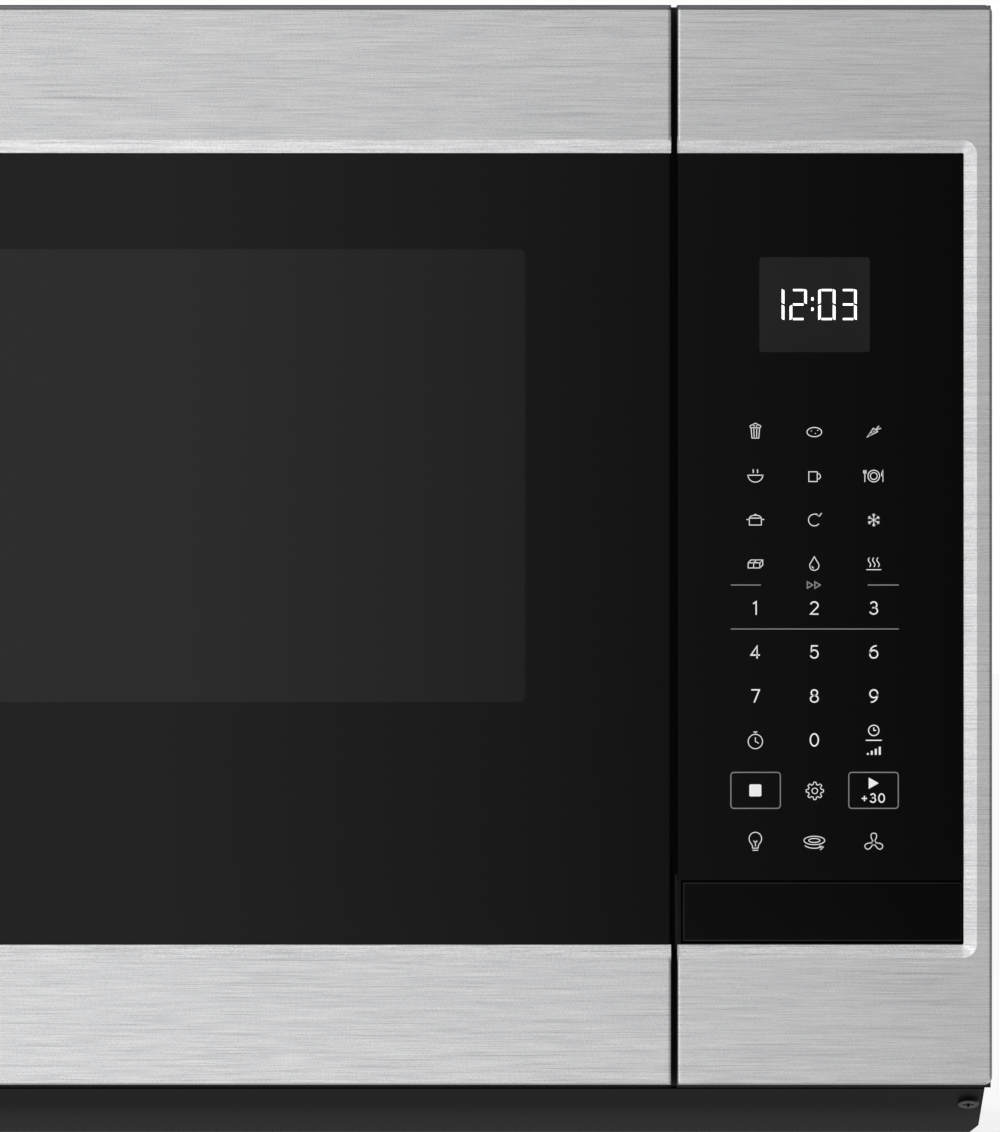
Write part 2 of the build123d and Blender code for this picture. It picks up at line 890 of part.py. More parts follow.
with BuildPart() as hinge_brackets:
    for level, rise in zip(hinge_levels, (1, -1)):
        with BuildSketch(Plane.XY.offset(level)):
            with Locations((hinge_x, hinge_y)):
                Circle(eye_radius)
            with BuildLine():
                Polyline(
                    (hinge_x, hinge_y - eye_radius),
                    (hinge_x + eye_radius, hinge_y),
                    (hinge_x + arm_right, hinge_y + eye_radius),
                    (hinge_x + arm_right, frame_back + hinge_plate),
                    (hinge_x + arm_left, frame_back + hinge_plate),
                    (hinge_x + arm_left, hinge_y),
                    close=True,
                )
            make_face()
        extrude(amount=hinge_plate)
        leaf = (level, level + leaf_height)
        if rise < 0:
            leaf = (level + hinge_plate - leaf_height, level + hinge_plate)
        block(
            (hinge_x + arm_left, hinge_x + leaf_width),
            (frame_back, frame_back + hinge_plate),
            leaf,
        )
        rod(
            pin_radius,
            (hinge_x, hinge_y, level + hinge_plate),
            (hinge_x, hinge_y, level + hinge_plate + pin_length),
        )
hinge_brackets.part.label = "hinge_brackets"
export_step(hinge_brackets.part, "parts/hinge_brackets.step")

# control panel
button_span_x = (button_left, button_right)
button_span_z = (button_bottom, button_top)
bezel_top = button_top + button_gap

with BuildPart() as panel_glass:
    block(
        (panel_left, glass_right + glass_tuck),
        (glass_y, glass_back),
        (bezel_top, glass_top + glass_tuck),
    )
    chamfer(panel_glass.faces().sort_by(Axis.Y)[0].edges().sort_by(Axis.X)[0], skin_sheet)
panel_glass.part.label = "panel_glass"
export_step(panel_glass.part, "parts/panel_glass.step")

with BuildPart() as panel_frame:
    block(
        (panel_left + skin_sheet + fit_gap, half_width - skin_sheet - fit_gap),
        (glass_back, rim_front),
        (skin_bottom + skin_sheet + fit_gap, skin_top - skin_sheet - fit_gap),
    )
    fillet(panel_frame.edges().filter_by(Axis.Y).group_by(Axis.X)[-1], skin_corner)
    block((panel_left, half_width), (rim_front, body_front), (frame_bottom, frame_top))
    # flange behind the gap beside the door
    block(
        (panel_left - gap_flange_reach, panel_left),
        (body_front - gap_flange, body_front),
        (frame_bottom, frame_top),
    )
    inner_walls = 2 * frame_wall
    block(
        (panel_left + inner_walls, half_width - inner_walls),
        (plate_back, body_front),
        (frame_bottom + inner_walls, frame_top - inner_walls),
        Mode.SUBTRACT,
    )
    # bezel around the release button, level with the glass
    block(
        (panel_left, glass_right + glass_tuck),
        (glass_y, glass_back),
        (glass_bottom - glass_tuck, bezel_top),
    )
    # pocket of the button and its floor
    pocket_x, pocket_z = spans(button_span_x, button_span_z, button_gap + frame_wall)
    block(pocket_x, (plate_back, button_floor + frame_wall), pocket_z)
    well_x, well_z = spans(button_span_x, button_span_z, button_gap)
    block(well_x, (glass_y, button_floor), well_z, Mode.SUBTRACT)
    hole_x, hole_z = spans((pusher_left, pusher_right), (pusher_low, pusher_high), fit_gap)
    block(hole_x, (button_floor, button_floor + frame_wall), hole_z, Mode.SUBTRACT)
    # window of the display
    block(display_x, (glass_back, plate_back), display_z, Mode.SUBTRACT)
    # posts under the control board
    for x_place in (board_x[0] + inner_walls, board_x[1] - inner_walls):
        for z_place in (board_z[0] + inner_walls, board_z[1] - inner_walls):
            rod(frame_wall, (x_place, plate_back, z_place), (x_place, board_y, z_place))
panel_frame.part.label = "panel_frame"
export_step(panel_frame.part, "parts/panel_frame.step")

with BuildPart() as display_module:
    block(
        (display_x[0] - display_bezel, display_x[1] + display_bezel),
        (plate_back, plate_back + display_depth),
        (display_z[0] - display_bezel, display_z[1] + display_bezel),
    )
    block(
        (display_x[0] + fit_gap, display_x[1] - fit_gap),
        (glass_back, plate_back),
        (display_z[0] + fit_gap, display_z[1] - fit_gap),
    )
display_module.part.label = "display_module"
export_step(display_module.part, "parts/display_module.step")

with BuildPart() as control_board:
    block(board_x, (board_y, board_y + board_sheet), board_z)
    board_back = board_y + board_sheet
    board_width = board_x[1] - board_x[0]
    relay_z = board_z[1] - relay_size
    plug_z = board_z[0] + relay_size / 2
    # a row of relays, a row of plugs, the supply transformer and its capacitors
    for column in (-1, 0, 1):
        x_place = middle(board_x) + column * board_width / 3
        half = relay_size / 2
        block(
            (x_place - half, x_place + half),
            (board_back, board_back + relay_height),
            (relay_z - half, relay_z + half),
        )
        block(
            (x_place - half, x_place + half),
            (board_back, board_back + relay_height / 2),
            (plug_z - half / 3, plug_z + half / 3),
        )
    block(
        (board_x[0] + relay_size / 2, board_x[0] + 2.5 * relay_size),
        (board_back, board_back + relay_height),
        (middle(board_z), middle(board_z) + 1.5 * relay_size),
    )
    for row in (1, 2, 3):
        z_place = middle(board_z) - row * relay_size
        rod(
            relay_size / 4,
            (board_x[0] + relay_size, board_back, z_place),
            (board_x[0] + relay_size, board_back + relay_height, z_place),
        )
control_board.part.label = "control_board"
export_step(control_board.part, "parts/control_board.step")

with BuildPart() as release_button:
    block(button_span_x, (glass_y, glass_y + button_depth), button_span_z)
    fillet(release_button.faces().sort_by(Axis.Y)[0].edges(), skin_sheet)
    block(
        (pusher_left, pusher_right),
        (glass_y + button_depth, lever_y - lever_arm_half - fit_gap),
        (pusher_low, pusher_high),
    )
release_button.part.label = "release_button"
export_step(release_button.part, "parts/release_button.step")

button_back = glass_y + button_depth
button_spring = coil(
    Plane(
        origin=(middle(button_span_x), button_back + spring_wire, middle(button_span_z)),
        z_dir=(0, 1, 0),
    ),
    spring_radius,
    spring_wire,
    button_turns,
    button_floor - button_back - 2 * spring_wire,
)
button_spring.label = "button_spring"
export_step(button_spring, "parts/button_spring.step")

latch_wall_x = (latch_span[0] - ear_gap - frame_wall, latch_span[0] - ear_gap)
far_ear_x = (latch_span[1] + ear_gap, latch_span[1] + ear_gap + frame_wall)

with BuildPart() as release_lever:
    rod(
        lever_pin,
        (latch_wall_x[0], lever_y, lever_z),
        (pusher_right, lever_y, lever_z),
    )
    for boss in (latch_span, (pusher_left, pusher_right)):
        rod(2 * lever_pin, (boss[0], lever_y, lever_z), (boss[1], lever_y, lever_z))
    block(
        (pusher_left, pusher_right),
        (lever_y - lever_arm_half, lever_y + lever_arm_half),
        (lever_z - lever_reach, lever_z),
    )
    block(latch_span, (lever_y, lever_y + lever_finger), (lever_z, lever_finger_top))
release_lever.part.label = "release_lever"
export_step(release_lever.part, "parts/release_lever.step")

# latch body
latch_body_z = (lever_z - 4 * lever_pin, upper_hook_z + 5 * hook_height)
switch_front = hook_tip + 2 * ear_gap
latch_back = switch_front + switch_length
switch_lows = [hook_z - nib_depth - switch_drop for hook_z in hook_levels]
switch_lows.append(switch_lows[-1] + switch_height + frame_wall)

with BuildPart() as latch_body:
    block(
        (latch_wall_x[0], door_right), (frame_back, frame_back + latch_face), latch_body_z
    )
    block(latch_wall_x, (frame_back, latch_back), latch_body_z)
    for hook_z in hook_levels:
        block(
            slot_span, (frame_back, frame_back + latch_face), hook_slot(hook_z), Mode.SUBTRACT
        )
    # shelves under the switches
    for low in switch_lows:
        block(
            (latch_wall_x[0], latch_span[1]),
            (switch_front, latch_back),
            (low - frame_wall, low),
        )
    # second ear of the release lever
    block(
        far_ear_x,
        (frame_back, lever_y + 2 * lever_pin),
        (latch_body_z[0], lever_z + 3 * lever_pin),
    )
    rod(
        lever_pin + pin_clearance,
        (latch_wall_x[0], lever_y, lever_z),
        (door_right, lever_y, lever_z),
        Mode.SUBTRACT,
    )
latch_body.part.label = "latch_body"
export_step(latch_body.part, "parts/latch_body.step")

with BuildPart() as interlock_switches:
    for low in switch_lows:
        centre_z = low + switch_height / 2
        block(
            (latch_wall_x[1], latch_span[1]),
            (switch_front, latch_back),
            (low, low + switch_height),
        )
        # plunger, and three blades at the side
        block(
            (latch_x - plunger_half, latch_x + plunger_half),
            (switch_front - ear_gap, switch_front),
            (centre_z - plunger_half, centre_z + plunger_half),
        )
        for share in (1, 2, 3):
            blade_y = switch_front + share * switch_length / 4
            block(
                (latch_span[1], latch_span[1] + latch_width),
                (blade_y - 2 * plunger_half, blade_y + 2 * plunger_half),
                (centre_z, centre_z + chassis_sheet),
            )
interlock_switches.part.label = "interlock_switches"
export_step(interlock_switches.part, "parts/interlock_switches.step")

# front frame
vent_opening_x = (vent_left, vent_right)
vent_opening_z = (vent_low, vent_high)
bay_opening_x = (panel_left + 2 * frame_wall, wrap_half - 2 * frame_wall)
bay_opening_z = (lever_z - lever_reach - bay_sill, glass_top)

with BuildPart() as front_frame:
    block((-wrap_half, wrap_half), (body_front, frame_back), (wrap_bottom, wrap_top))
    block(
        (cavity_left, cavity_right),
        (body_front, frame_back),
        (cavity_bottom, cavity_top),
        Mode.SUBTRACT,
    )
    fillet(
        front_frame.edges().filter_by(Axis.Y).filter_by_position(Axis.X, cavity_left, cavity_right)
        .filter_by_position(Axis.Z, cavity_bottom, cavity_top),
        cavity_corner,
    )
    block(vent_opening_x, (body_front, frame_back), vent_opening_z, Mode.SUBTRACT)
    block(bay_opening_x, (body_front, frame_back), bay_opening_z, Mode.SUBTRACT)
    for hook_z in hook_levels:
        block(slot_span, (body_front, frame_back), hook_slot(hook_z), Mode.SUBTRACT)
    for level in hinge_levels:
        arm_x, arm_z = spans(
            (hinge_x + arm_left, hinge_x + arm_right), (level, level + hinge_plate), fit_gap / 2
        )
        block(arm_x, (body_front, frame_back), arm_z, Mode.SUBTRACT)
front_frame.part.label = "front_frame"
export_step(front_frame.part, "parts/front_frame.step")

# oven cavity
outer_left = cavity_left - cavity_sheet
outer_right = cavity_right + cavity_sheet
outer_floor = cavity_bottom - cavity_sheet
outer_ceiling = cavity_top + cavity_sheet
port_z = (middle((guide_low, guide_high)) - port_height / 2,
          middle((guide_low, guide_high)) + port_height / 2)

with BuildPart() as cavity_liner:
    block((outer_left, outer_right), (frame_back, cavity_back + cavity_sheet),
          (outer_floor, outer_ceiling))
    fillet(cavity_liner.edges().filter_by(Axis.Y), cavity_corner + cavity_sheet)
    offset(amount=-cavity_sheet, openings=cavity_liner.faces().sort_by(Axis.Y)[0])
    # shaft hole, waveguide port, lamp holes and vent holes
    rod(
        shaft_hole,
        (cavity_middle, turntable_y, outer_floor),
        (cavity_middle, turntable_y, cavity_bottom),
        Mode.SUBTRACT,
    )
    block(
        (cavity_right, outer_right),
        (turntable_y - port_width / 2, turntable_y + port_width / 2),
        port_z,
        Mode.SUBTRACT,
    )
    with BuildSketch(Plane.XY.offset(cavity_top)):
        with Locations((cavity_right - lamp_inset, turntable_y)):
            with GridLocations(hole_pitch, hole_pitch, lamp_holes, lamp_holes):
                Circle(vent_hole)
    extrude(amount=cavity_sheet, mode=Mode.SUBTRACT)
    with BuildSketch(Plane.YZ.offset(outer_left)):
        with Locations(
            (turntable_y + vent_hole_shift, middle((cavity_bottom, cavity_top)) + vent_hole_shift)
        ):
            with GridLocations(hole_pitch, hole_pitch, 2 * lamp_holes, lamp_holes):
                Circle(vent_hole)
    extrude(amount=cavity_sheet, mode=Mode.SUBTRACT)
    with BuildSketch(Plane.YZ.offset(cavity_right)):
        with Locations((turntable_y - vent_hole_shift - guide_width / 2, port_z[1] + port_height / 2)):
            with GridLocations(hole_pitch, hole_pitch, lamp_holes, lamp_holes):
                Circle(vent_hole)
    extrude(amount=cavity_sheet, mode=Mode.SUBTRACT)
cavity_liner.part.label = "cavity_liner"
export_step(cavity_liner.part, "parts/cavity_liner.step")

with BuildPart() as waveguide_cover:
    # mica sheet over the port, held by two rivets
    cover_y = (turntable_y - guide_width / 2 - mica_border, turntable_y + guide_width / 2 + mica_border)
    block(
        (cavity_right - mica_sheet, cavity_right),
        cover_y,
        (port_z[0] - mica_border, port_z[1] + mica_border),
    )
    fillet(waveguide_cover.edges().filter_by(Axis.X), skin_corner)
    for rivet_y in (cover_y[0] + mica_border / 2, cover_y[1] - mica_border / 2):
        rod(
            screw_shank,
            (cavity_right - 2 * mica_sheet, rivet_y, middle(port_z)),
            (cavity_right, rivet_y, middle(port_z)),
        )
waveguide_cover.part.label = "waveguide_cover"
export_step(waveguide_cover.part, "parts/waveguide_cover.step")

with BuildPart() as cavity_lamp:
    # lamp box over the perforated patch of the ceiling, with its bulb inside
    lamp_centre = (cavity_right - lamp_inset, turntable_y)
    box_x = (lamp_centre[0] - lamp_box / 2, lamp_centre[0] + lamp_box / 2)
    box_y = (lamp_centre[1] - lamp_box / 2, lamp_centre[1] + lamp_box / 2)
    box_z = (outer_ceiling, outer_ceiling + lamp_box_height)
    block(box_x, box_y, box_z)
    block(
        (box_x[0] + frame_wall, box_x[1] - frame_wall),
        (box_y[0] + frame_wall, box_y[1] - frame_wall),
        (box_z[0], box_z[1] - frame_wall),
        Mode.SUBTRACT,
    )
    bulb_z = middle(box_z)
    rod(
        bulb_radius / 2,
        (box_x[0], lamp_centre[1], bulb_z),
        (lamp_centre[0], lamp_centre[1], bulb_z),
    )
    with Locations((lamp_centre[0], lamp_centre[1], bulb_z)):
        Sphere(bulb_radius)
cavity_lamp.part.label = "cavity_lamp"
export_step(cavity_lamp.part, "parts/cavity_lamp.step")

# turntable
motor_top = outer_floor
with BuildPart() as turntable_motor:
    rod(
        motor_radius,
        (cavity_middle, turntable_y, motor_top - motor_height),
        (cavity_middle, turntable_y, motor_top),
    )
    fillet(turntable_motor.faces().sort_by(Axis.Z)[0].edges(), skin_bend)
    block(
        (cavity_middle - motor_ear, cavity_middle + motor_ear),
        (turntable_y - hub_radius, turntable_y + hub_radius),
        (motor_top - chassis_sheet, motor_top),
    )
    block(
        (cavity_middle - hub_radius, cavity_middle + hub_radius),
        (turntable_y + motor_radius - motor_bend, turntable_y + motor_radius + hub_radius),
        (motor_top - motor_height + motor_step, motor_top - motor_step),
    )
    rod(
        shaft_radius + pin_clearance,
        (cavity_middle, turntable_y, motor_top - motor_height / 2),
        (cavity_middle, turntable_y, motor_top),
        Mode.SUBTRACT,
    )
turntable_motor.part.label = "turntable_motor"
export_step(turntable_motor.part, "parts/turntable_motor.step")

lobe_top = tray_bottom - fit_gap
with BuildPart() as turntable_coupler:
    rod(
        shaft_radius,
        (cavity_middle, turntable_y, motor_top - motor_height / 2 + fit_gap),
        (cavity_middle, turntable_y, lobe_top),
    )
    rod(
        shaft_hole - collar_gap,
        (cavity_middle, turntable_y, motor_top + fit_gap),
        (cavity_middle, turntable_y, cavity_bottom + fit_gap),
    )
    rod(
        hub_radius,
        (cavity_middle, turntable_y, cavity_bottom + fit_gap),
        (cavity_middle, turntable_y, lobe_top),
    )
    with BuildSketch(Plane.XY.offset(lobe_top - lobe_height)):
        with Locations((cavity_middle, turntable_y)):
            with PolarLocations(lobe_length / 2, 3):
                Rectangle(lobe_length, lobe_width)
    extrude(amount=lobe_height)
turntable_coupler.part.label = "turntable_coupler"
export_step(turntable_coupler.part, "parts/turntable_coupler.step")

ring_inner = roller_track - roller_width / 2 - ring_bar - fit_gap
ring_z = (roller_z - ring_bar / 2, roller_z + ring_bar / 2)
with BuildPart() as roller_ring:
    # hub ring round the coupler, three spokes and the outer hoop with roller axles
    with BuildSketch(Plane.XY.offset(ring_z[0])):
        with Locations((cavity_middle, turntable_y)):
            Circle(ring_inner)
            Circle(ring_inner - ring_bar, mode=Mode.SUBTRACT)
            with PolarLocations((ring_inner + ring_hub) / 2, 3):
                Rectangle(ring_inner - ring_hub - ring_bar / 2, ring_bar)
            Circle(ring_hub + ring_bar)
            Circle(ring_hub, mode=Mode.SUBTRACT)
    extrude(amount=ring_bar)
    for place in range(3):
        angle = radians(120 * place)
        rod(
            roller_axle,
            (
                cavity_middle + (ring_inner - ring_bar / 2) * cos(angle),
                turntable_y + (ring_inner - ring_bar / 2) * sin(angle),
                roller_z,
            ),
            (
                cavity_middle + (roller_track + roller_width / 2) * cos(angle),
                turntable_y + (roller_track + roller_width / 2) * sin(angle),
                roller_z,
            ),
        )
roller_ring.part.label = "roller_ring"
export_step(roller_ring.part, "parts/roller_ring.step")

for place in range(3):
    angle = radians(120 * place)
    outward = Vector(cos(angle), sin(angle), 0)
    start = Vector(cavity_middle, turntable_y, roller_z) + outward * (roller_track - roller_width / 2)
    with BuildPart() as roller:
        with BuildSketch(Plane(origin=start, z_dir=outward)):
            Circle(roller_radius)
            Circle(roller_axle + pin_clearance, mode=Mode.SUBTRACT)
        extrude(amount=roller_width)
    roller.part.label = f"roller_{place + 1}"
    export_step(roller.part, f"parts/roller_{place + 1}.step")

with BuildPart() as glass_tray:
    # dished glass plate, and three pairs of ribs that take the coupler's lobes
    with BuildSketch(Plane.XZ.offset(-turntable_y)):
        with BuildLine():
            Polyline(
                (cavity_middle, tray_bottom),
                (cavity_middle + tray_radius - tray_rim, tray_bottom),
                (cavity_middle + tray_radius, tray_bottom + tray_rim),
                (cavity_middle + tray_radius, tray_bottom + tray_rim + tray_thickness / 2),
                (cavity_middle + tray_radius - tray_rim / 2, tray_bottom + tray_rim),
                (cavity_middle + tray_radius - tray_rim - tray_thickness / 2,
                 tray_bottom + tray_thickness),
                (cavity_middle, tray_bottom + tray_thickness),
                close=True,
            )
        make_face()
    revolve(axis=Axis((cavity_middle, turntable_y, 0), (0, 0, 1)))
    with BuildSketch(Plane.XY.offset(tray_bottom)):
        with Locations((cavity_middle, turntable_y)):
            for side in (-1, 1):
                turn = side * degrees(atan2((lobe_width + tray_thickness) / 2 + lobe_gap, peg_reach))
                with PolarLocations(
                    peg_reach / cos(radians(turn)), 3, start_angle=turn, rotate=False
                ):
                    Circle(tray_thickness / 2)
    extrude(amount=-lobe_height)
glass_tray.part.label = "glass_tray"
export_step(glass_tray.part, "parts/glass_tray.step")

# microwave generator
guide_right = guide_left + guide_depth
guide_y = (turntable_y - guide_width / 2, turntable_y + guide_width / 2)
antenna_z = guide_high - guide_depth
with BuildPart() as waveguide:
    block((guide_left, guide_right), guide_y, (guide_low, guide_high))
    block(
        (guide_left, guide_right - chassis_sheet),
        (guide_y[0] + chassis_sheet, guide_y[1] - chassis_sheet),
        (guide_low + chassis_sheet, guide_high - chassis_sheet),
        Mode.SUBTRACT,
    )
    # welding flange on the cavity wall
    for z_span in ((guide_low - lip_width, guide_low), (guide_high, guide_high + lip_width)):
        block((guide_left, guide_left + chassis_sheet), guide_y, z_span)
    rod(
        antenna_radius + fit_gap,
        (guide_right - chassis_sheet, turntable_y, antenna_z),
        (guide_right, turntable_y, antenna_z),
        Mode.SUBTRACT,
    )
waveguide.part.label = "waveguide"
export_step(waveguide.part, "parts/waveguide.step")

yoke_x = (guide_right, guide_right + yoke_length)
yoke_y = (turntable_y - yoke_width / 2, turntable_y + yoke_width / 2)
yoke_z = (antenna_z - yoke_height / 2, antenna_z + yoke_height / 2)
with BuildPart() as magnetron:
    # steel yoke open at both sides, anode with fins, magnets, antenna, filter box
    block(yoke_x, yoke_y, yoke_z)
    block(
        (yoke_x[0] + yoke_sheet, yoke_x[1] - yoke_sheet),
        yoke_y,
        (yoke_z[0] + yoke_sheet, yoke_z[1] - yoke_sheet),
        Mode.SUBTRACT,
    )
    rod(anode_radius, (yoke_x[0], turntable_y, antenna_z), (yoke_x[1], turntable_y, antenna_z))
    for magnet in ((yoke_x[0] + yoke_sheet, 1), (yoke_x[1] - yoke_sheet, -1)):
        rod(
            magnet_radius,
            (magnet[0], turntable_y, antenna_z),
            (magnet[0] + magnet[1] * magnet_height, turntable_y, antenna_z),
        )
    fin_room = yoke_length - 2 * yoke_sheet - 2 * magnet_height
    for fin in range(fin_count):
        fin_x = yoke_x[0] + yoke_sheet + magnet_height + (fin + 0.5) * fin_room / fin_count
        block(
            (fin_x, fin_x + fin_sheet),
            yoke_y,
            (yoke_z[0] + yoke_sheet, yoke_z[1] - yoke_sheet),
        )
    rod(
        antenna_radius,
        (guide_left + 2 * lip_width, turntable_y, antenna_z),
        (yoke_x[0], turntable_y, antenna_z),
    )
    block(
        (yoke_x[1], yoke_x[1] + filter_box),
        (turntable_y - filter_box, turntable_y + filter_box),
        (antenna_z - filter_box, antenna_z + filter_box),
    )
    terminal_x = yoke_x[1] + filter_box / 2
    for terminal in (-1, 1):
        terminal_y = turntable_y + terminal * filter_box / 2
        block(
            (terminal_x - terminal_width / 2, terminal_x + terminal_width / 2),
            (terminal_y - chassis_sheet, terminal_y + chassis_sheet),
            (antenna_z - filter_box - terminal_length, antenna_z - filter_box),
        )
magnetron.part.label = "magnetron"
export_step(magnetron.part, "parts/magnetron.step")

core_x = (core_left, core_left + core_length)
core_y = (core_front, core_front + core_depth)
core_z = (floor_top + core_foot, floor_top + core_foot + core_height)
window_width = core_length / 6
with BuildPart() as transformer_core:
    # laminated core with two windows, standing on a foot plate
    block(core_x, core_y, core_z)
    for window_x in (core_x[0] + window_width, core_x[1] - 2 * window_width):
        block(
            (window_x, window_x + window_width),
            core_y,
            (core_z[0] + window_width, core_z[1] - window_width),
            Mode.SUBTRACT,
        )
    block((core_x[0] - foot_reach, core_x[1] + foot_reach), core_y, (floor_top, core_z[0]))
transformer_core.part.label = "transformer_core"
export_step(transformer_core.part, "parts/transformer_core.step")

with BuildPart() as transformer_windings:
    # two coils round the middle limb, one above the other
    winding_low = core_z[0] + window_width + winding_clearance
    winding_high = core_z[1] - window_width - winding_clearance
    for z_low, z_high in (
        (winding_low, winding_low + primary_height),
        (winding_low + primary_height + winding_step, winding_high),
    ):
        with BuildSketch(Plane.XY.offset(z_low)):
            with Locations((middle(core_x), middle(core_y))):
                RectangleRounded(
                    core_length / 3 + 2 * window_width - 2 * fit_gap,
                    core_depth + 2 * window_width,
                    window_width - fit_gap,
                )
                Rectangle(
                    core_length / 3 + 2 * fit_gap, core_depth + 2 * fit_gap, mode=Mode.SUBTRACT
                )
        extrude(amount=z_high - z_low)
transformer_windings.part.label = "transformer_windings"
export_step(transformer_windings.part, "parts/transformer_windings.step")

with BuildPart() as hv_capacitor:
    # oval can standing in a clamp band, with its diode lead between the terminals
    with BuildSketch(Plane.XY.offset(floor_top)):
        with Locations((can_x, can_y)):
            SlotOverall(can_length, can_width)
    extrude(amount=can_height)
    fillet(hv_capacitor.faces().sort_by(Axis.Z)[-1].edges(), skin_corner / 2)
    with BuildSketch(Plane.XY.offset(floor_top + can_height / 3)):
        with Locations((can_x, can_y)):
            SlotOverall(can_length + 2 * chassis_sheet, can_width + 2 * chassis_sheet)
    extrude(amount=can_height / 6)
    block(
        (can_x - can_length / 2 - foot_reach, can_x - can_length / 2 + chassis_sheet),
        (can_y - foot_reach, can_y + foot_reach),
        (floor_top, floor_top + chassis_sheet),
    )
    block(
        (can_x - can_length / 2 - chassis_sheet, can_x - can_length / 2 + 2 * chassis_sheet),
        (can_y - foot_reach, can_y + foot_reach),
        (floor_top, floor_top + can_height / 2),
    )
    can_top = floor_top + can_height
    for side in (-1, 1):
        rod(
            screw_head,
            (can_x + side * can_length / 5, can_y, can_top),
            (can_x + side * can_length / 5, can_y, can_top + screw_head),
        )
    rod(
        screw_shank,
        (can_x - can_length / 5, can_y, can_top + screw_head / 2),
        (can_x + can_length / 5, can_y, can_top + screw_head / 2),
    )
hv_capacitor.part.label = "hv_capacitor"
export_step(hv_capacitor.part, "parts/hv_capacitor.step")

with BuildPart() as noise_filter:
    # filter board on four feet, with its choke, two capacitors and a fuse
    board_low = floor_top + filter_foot
    block(
        (filter_board_x, filter_board_x + filter_board_size),
        (filter_board_y, filter_board_y + filter_board_size),
        (board_low, board_low + board_sheet),
    )
    for x_share in (1, 7):
        for y_share in (1, 7):
            foot_at = (
                filter_board_x + x_share * filter_board_size / 8,
                filter_board_y + y_share * filter_board_size / 8,
            )
            rod(screw_shank, (*foot_at, floor_top), (*foot_at, board_low))
    top = board_low + board_sheet
    quarter = filter_board_size / 4
    filter_right = filter_board_x + filter_board_size
    rod(
        quarter,
        (filter_board_x + choke_inset, filter_board_y + choke_inset, top),
        (filter_board_x + choke_inset, filter_board_y + choke_inset, top + quarter),
    )
    for row in (1, 2):
        block(
            (filter_right - film_can_inset - film_can_length, filter_right - film_can_inset),
            (
                filter_board_y + row * quarter,
                filter_board_y + row * quarter + film_can_width,
            ),
            (top, top + quarter),
        )
    fuse_y = filter_board_y + filter_board_size - fuse_inset
    rod(
        quarter / 5,
        (filter_board_x + quarter / 2, fuse_y, top + quarter / 6),
        (filter_board_x + 3 * quarter, fuse_y, top + quarter / 6),
    )
noise_filter.part.label = "noise_filter"
export_step(noise_filter.part, "parts/noise_filter.step")

with BuildPart() as thermal_cutouts:
    # button thermostats: on the cavity's ceiling, on its side wall, and on the magnetron
    for seat, way in (
        ((cavity_middle, turntable_y, outer_ceiling), (0, 0, 1)),
        ((outer_left, turntable_y - guide_width / 2, cavity_top - motor_ear), (-1, 0, 0)),
        ((middle(yoke_x), turntable_y, yoke_z[1]), (0, 0, 1)),
    ):
        tip = Vector(*seat) + Vector(*way) * cutout_height
        rod(cutout_radius, seat, tip)
        rod(cutout_radius / 2, tip, tip + Vector(*way) * screw_head_height)
thermal_cutouts.part.label = "thermal_cutouts"
export_step(thermal_cutouts.part, "parts/thermal_cutouts.step")

# cooling fan
fan_x = middle(yoke_x)
fan_z = antenna_z
shroud_y = (fan_front, fan_front + shroud_depth)
with BuildPart() as fan_shroud:
    # square duct plate with a round throat, standing on the chassis floor
    block(
        (fan_x - shroud_half, fan_x + shroud_half),
        (shroud_y[1] - panel_sheet, shroud_y[1]),
        (floor_top, fan_z + shroud_half),
    )
    with BuildSketch(facing(shroud_y[0])):
        with Locations((fan_x, fan_z)):
            Circle(fan_radius + fan_gap + frame_wall)
    extrude(amount=-shroud_depth)
    rod(fan_radius + fan_gap, (fan_x, shroud_y[0], fan_z), (fan_x, shroud_y[1], fan_z), Mode.SUBTRACT)
    block(
        (fan_x - shroud_half, fan_x + shroud_half),
        (shroud_y[1] - 4 * foot_reach, shroud_y[1]),
        (floor_top, floor_top + panel_sheet),
    )
    # bridge across the throat that carries the motor
    for side in (-1, 1):
        block(
            (
                fan_x + side * fan_motor_half - foot_reach / 2,
                fan_x + side * fan_motor_half + foot_reach / 2,
            ),
            (shroud_y[1], shroud_y[1] + bridge_depth),
            (fan_z - fan_radius - fan_gap - foot_reach, fan_z + fan_radius + fan_gap + foot_reach),
        )
fan_shroud.part.label = "fan_shroud"
export_step(fan_shroud.part, "parts/fan_shroud.step")

motor_front = shroud_y[1] + bridge_depth
with BuildPart() as fan_motor:
    # laminated stack, coil and two bearing bridges
    block(
        (fan_x - fan_motor_half - foot_reach / 2, fan_x + fan_motor_half + foot_reach / 2),
        (motor_front, motor_front + fan_motor_depth),
        (fan_z - fan_motor_half, fan_z + fan_motor_half),
    )
    rod(
        fan_shaft + pin_clearance,
        (fan_x, motor_front, fan_z),
        (fan_x, motor_front + fan_motor_depth, fan_z),
        Mode.SUBTRACT,
    )
    block(
        (fan_x - fan_motor_half, fan_x + fan_motor_half),
        (motor_front, motor_front + fan_motor_depth),
        (fan_z - fan_motor_half - foot_reach, fan_z - fan_motor_half),
    )
fan_motor.part.label = "fan_motor"
export_step(fan_motor.part, "parts/fan_motor.step")

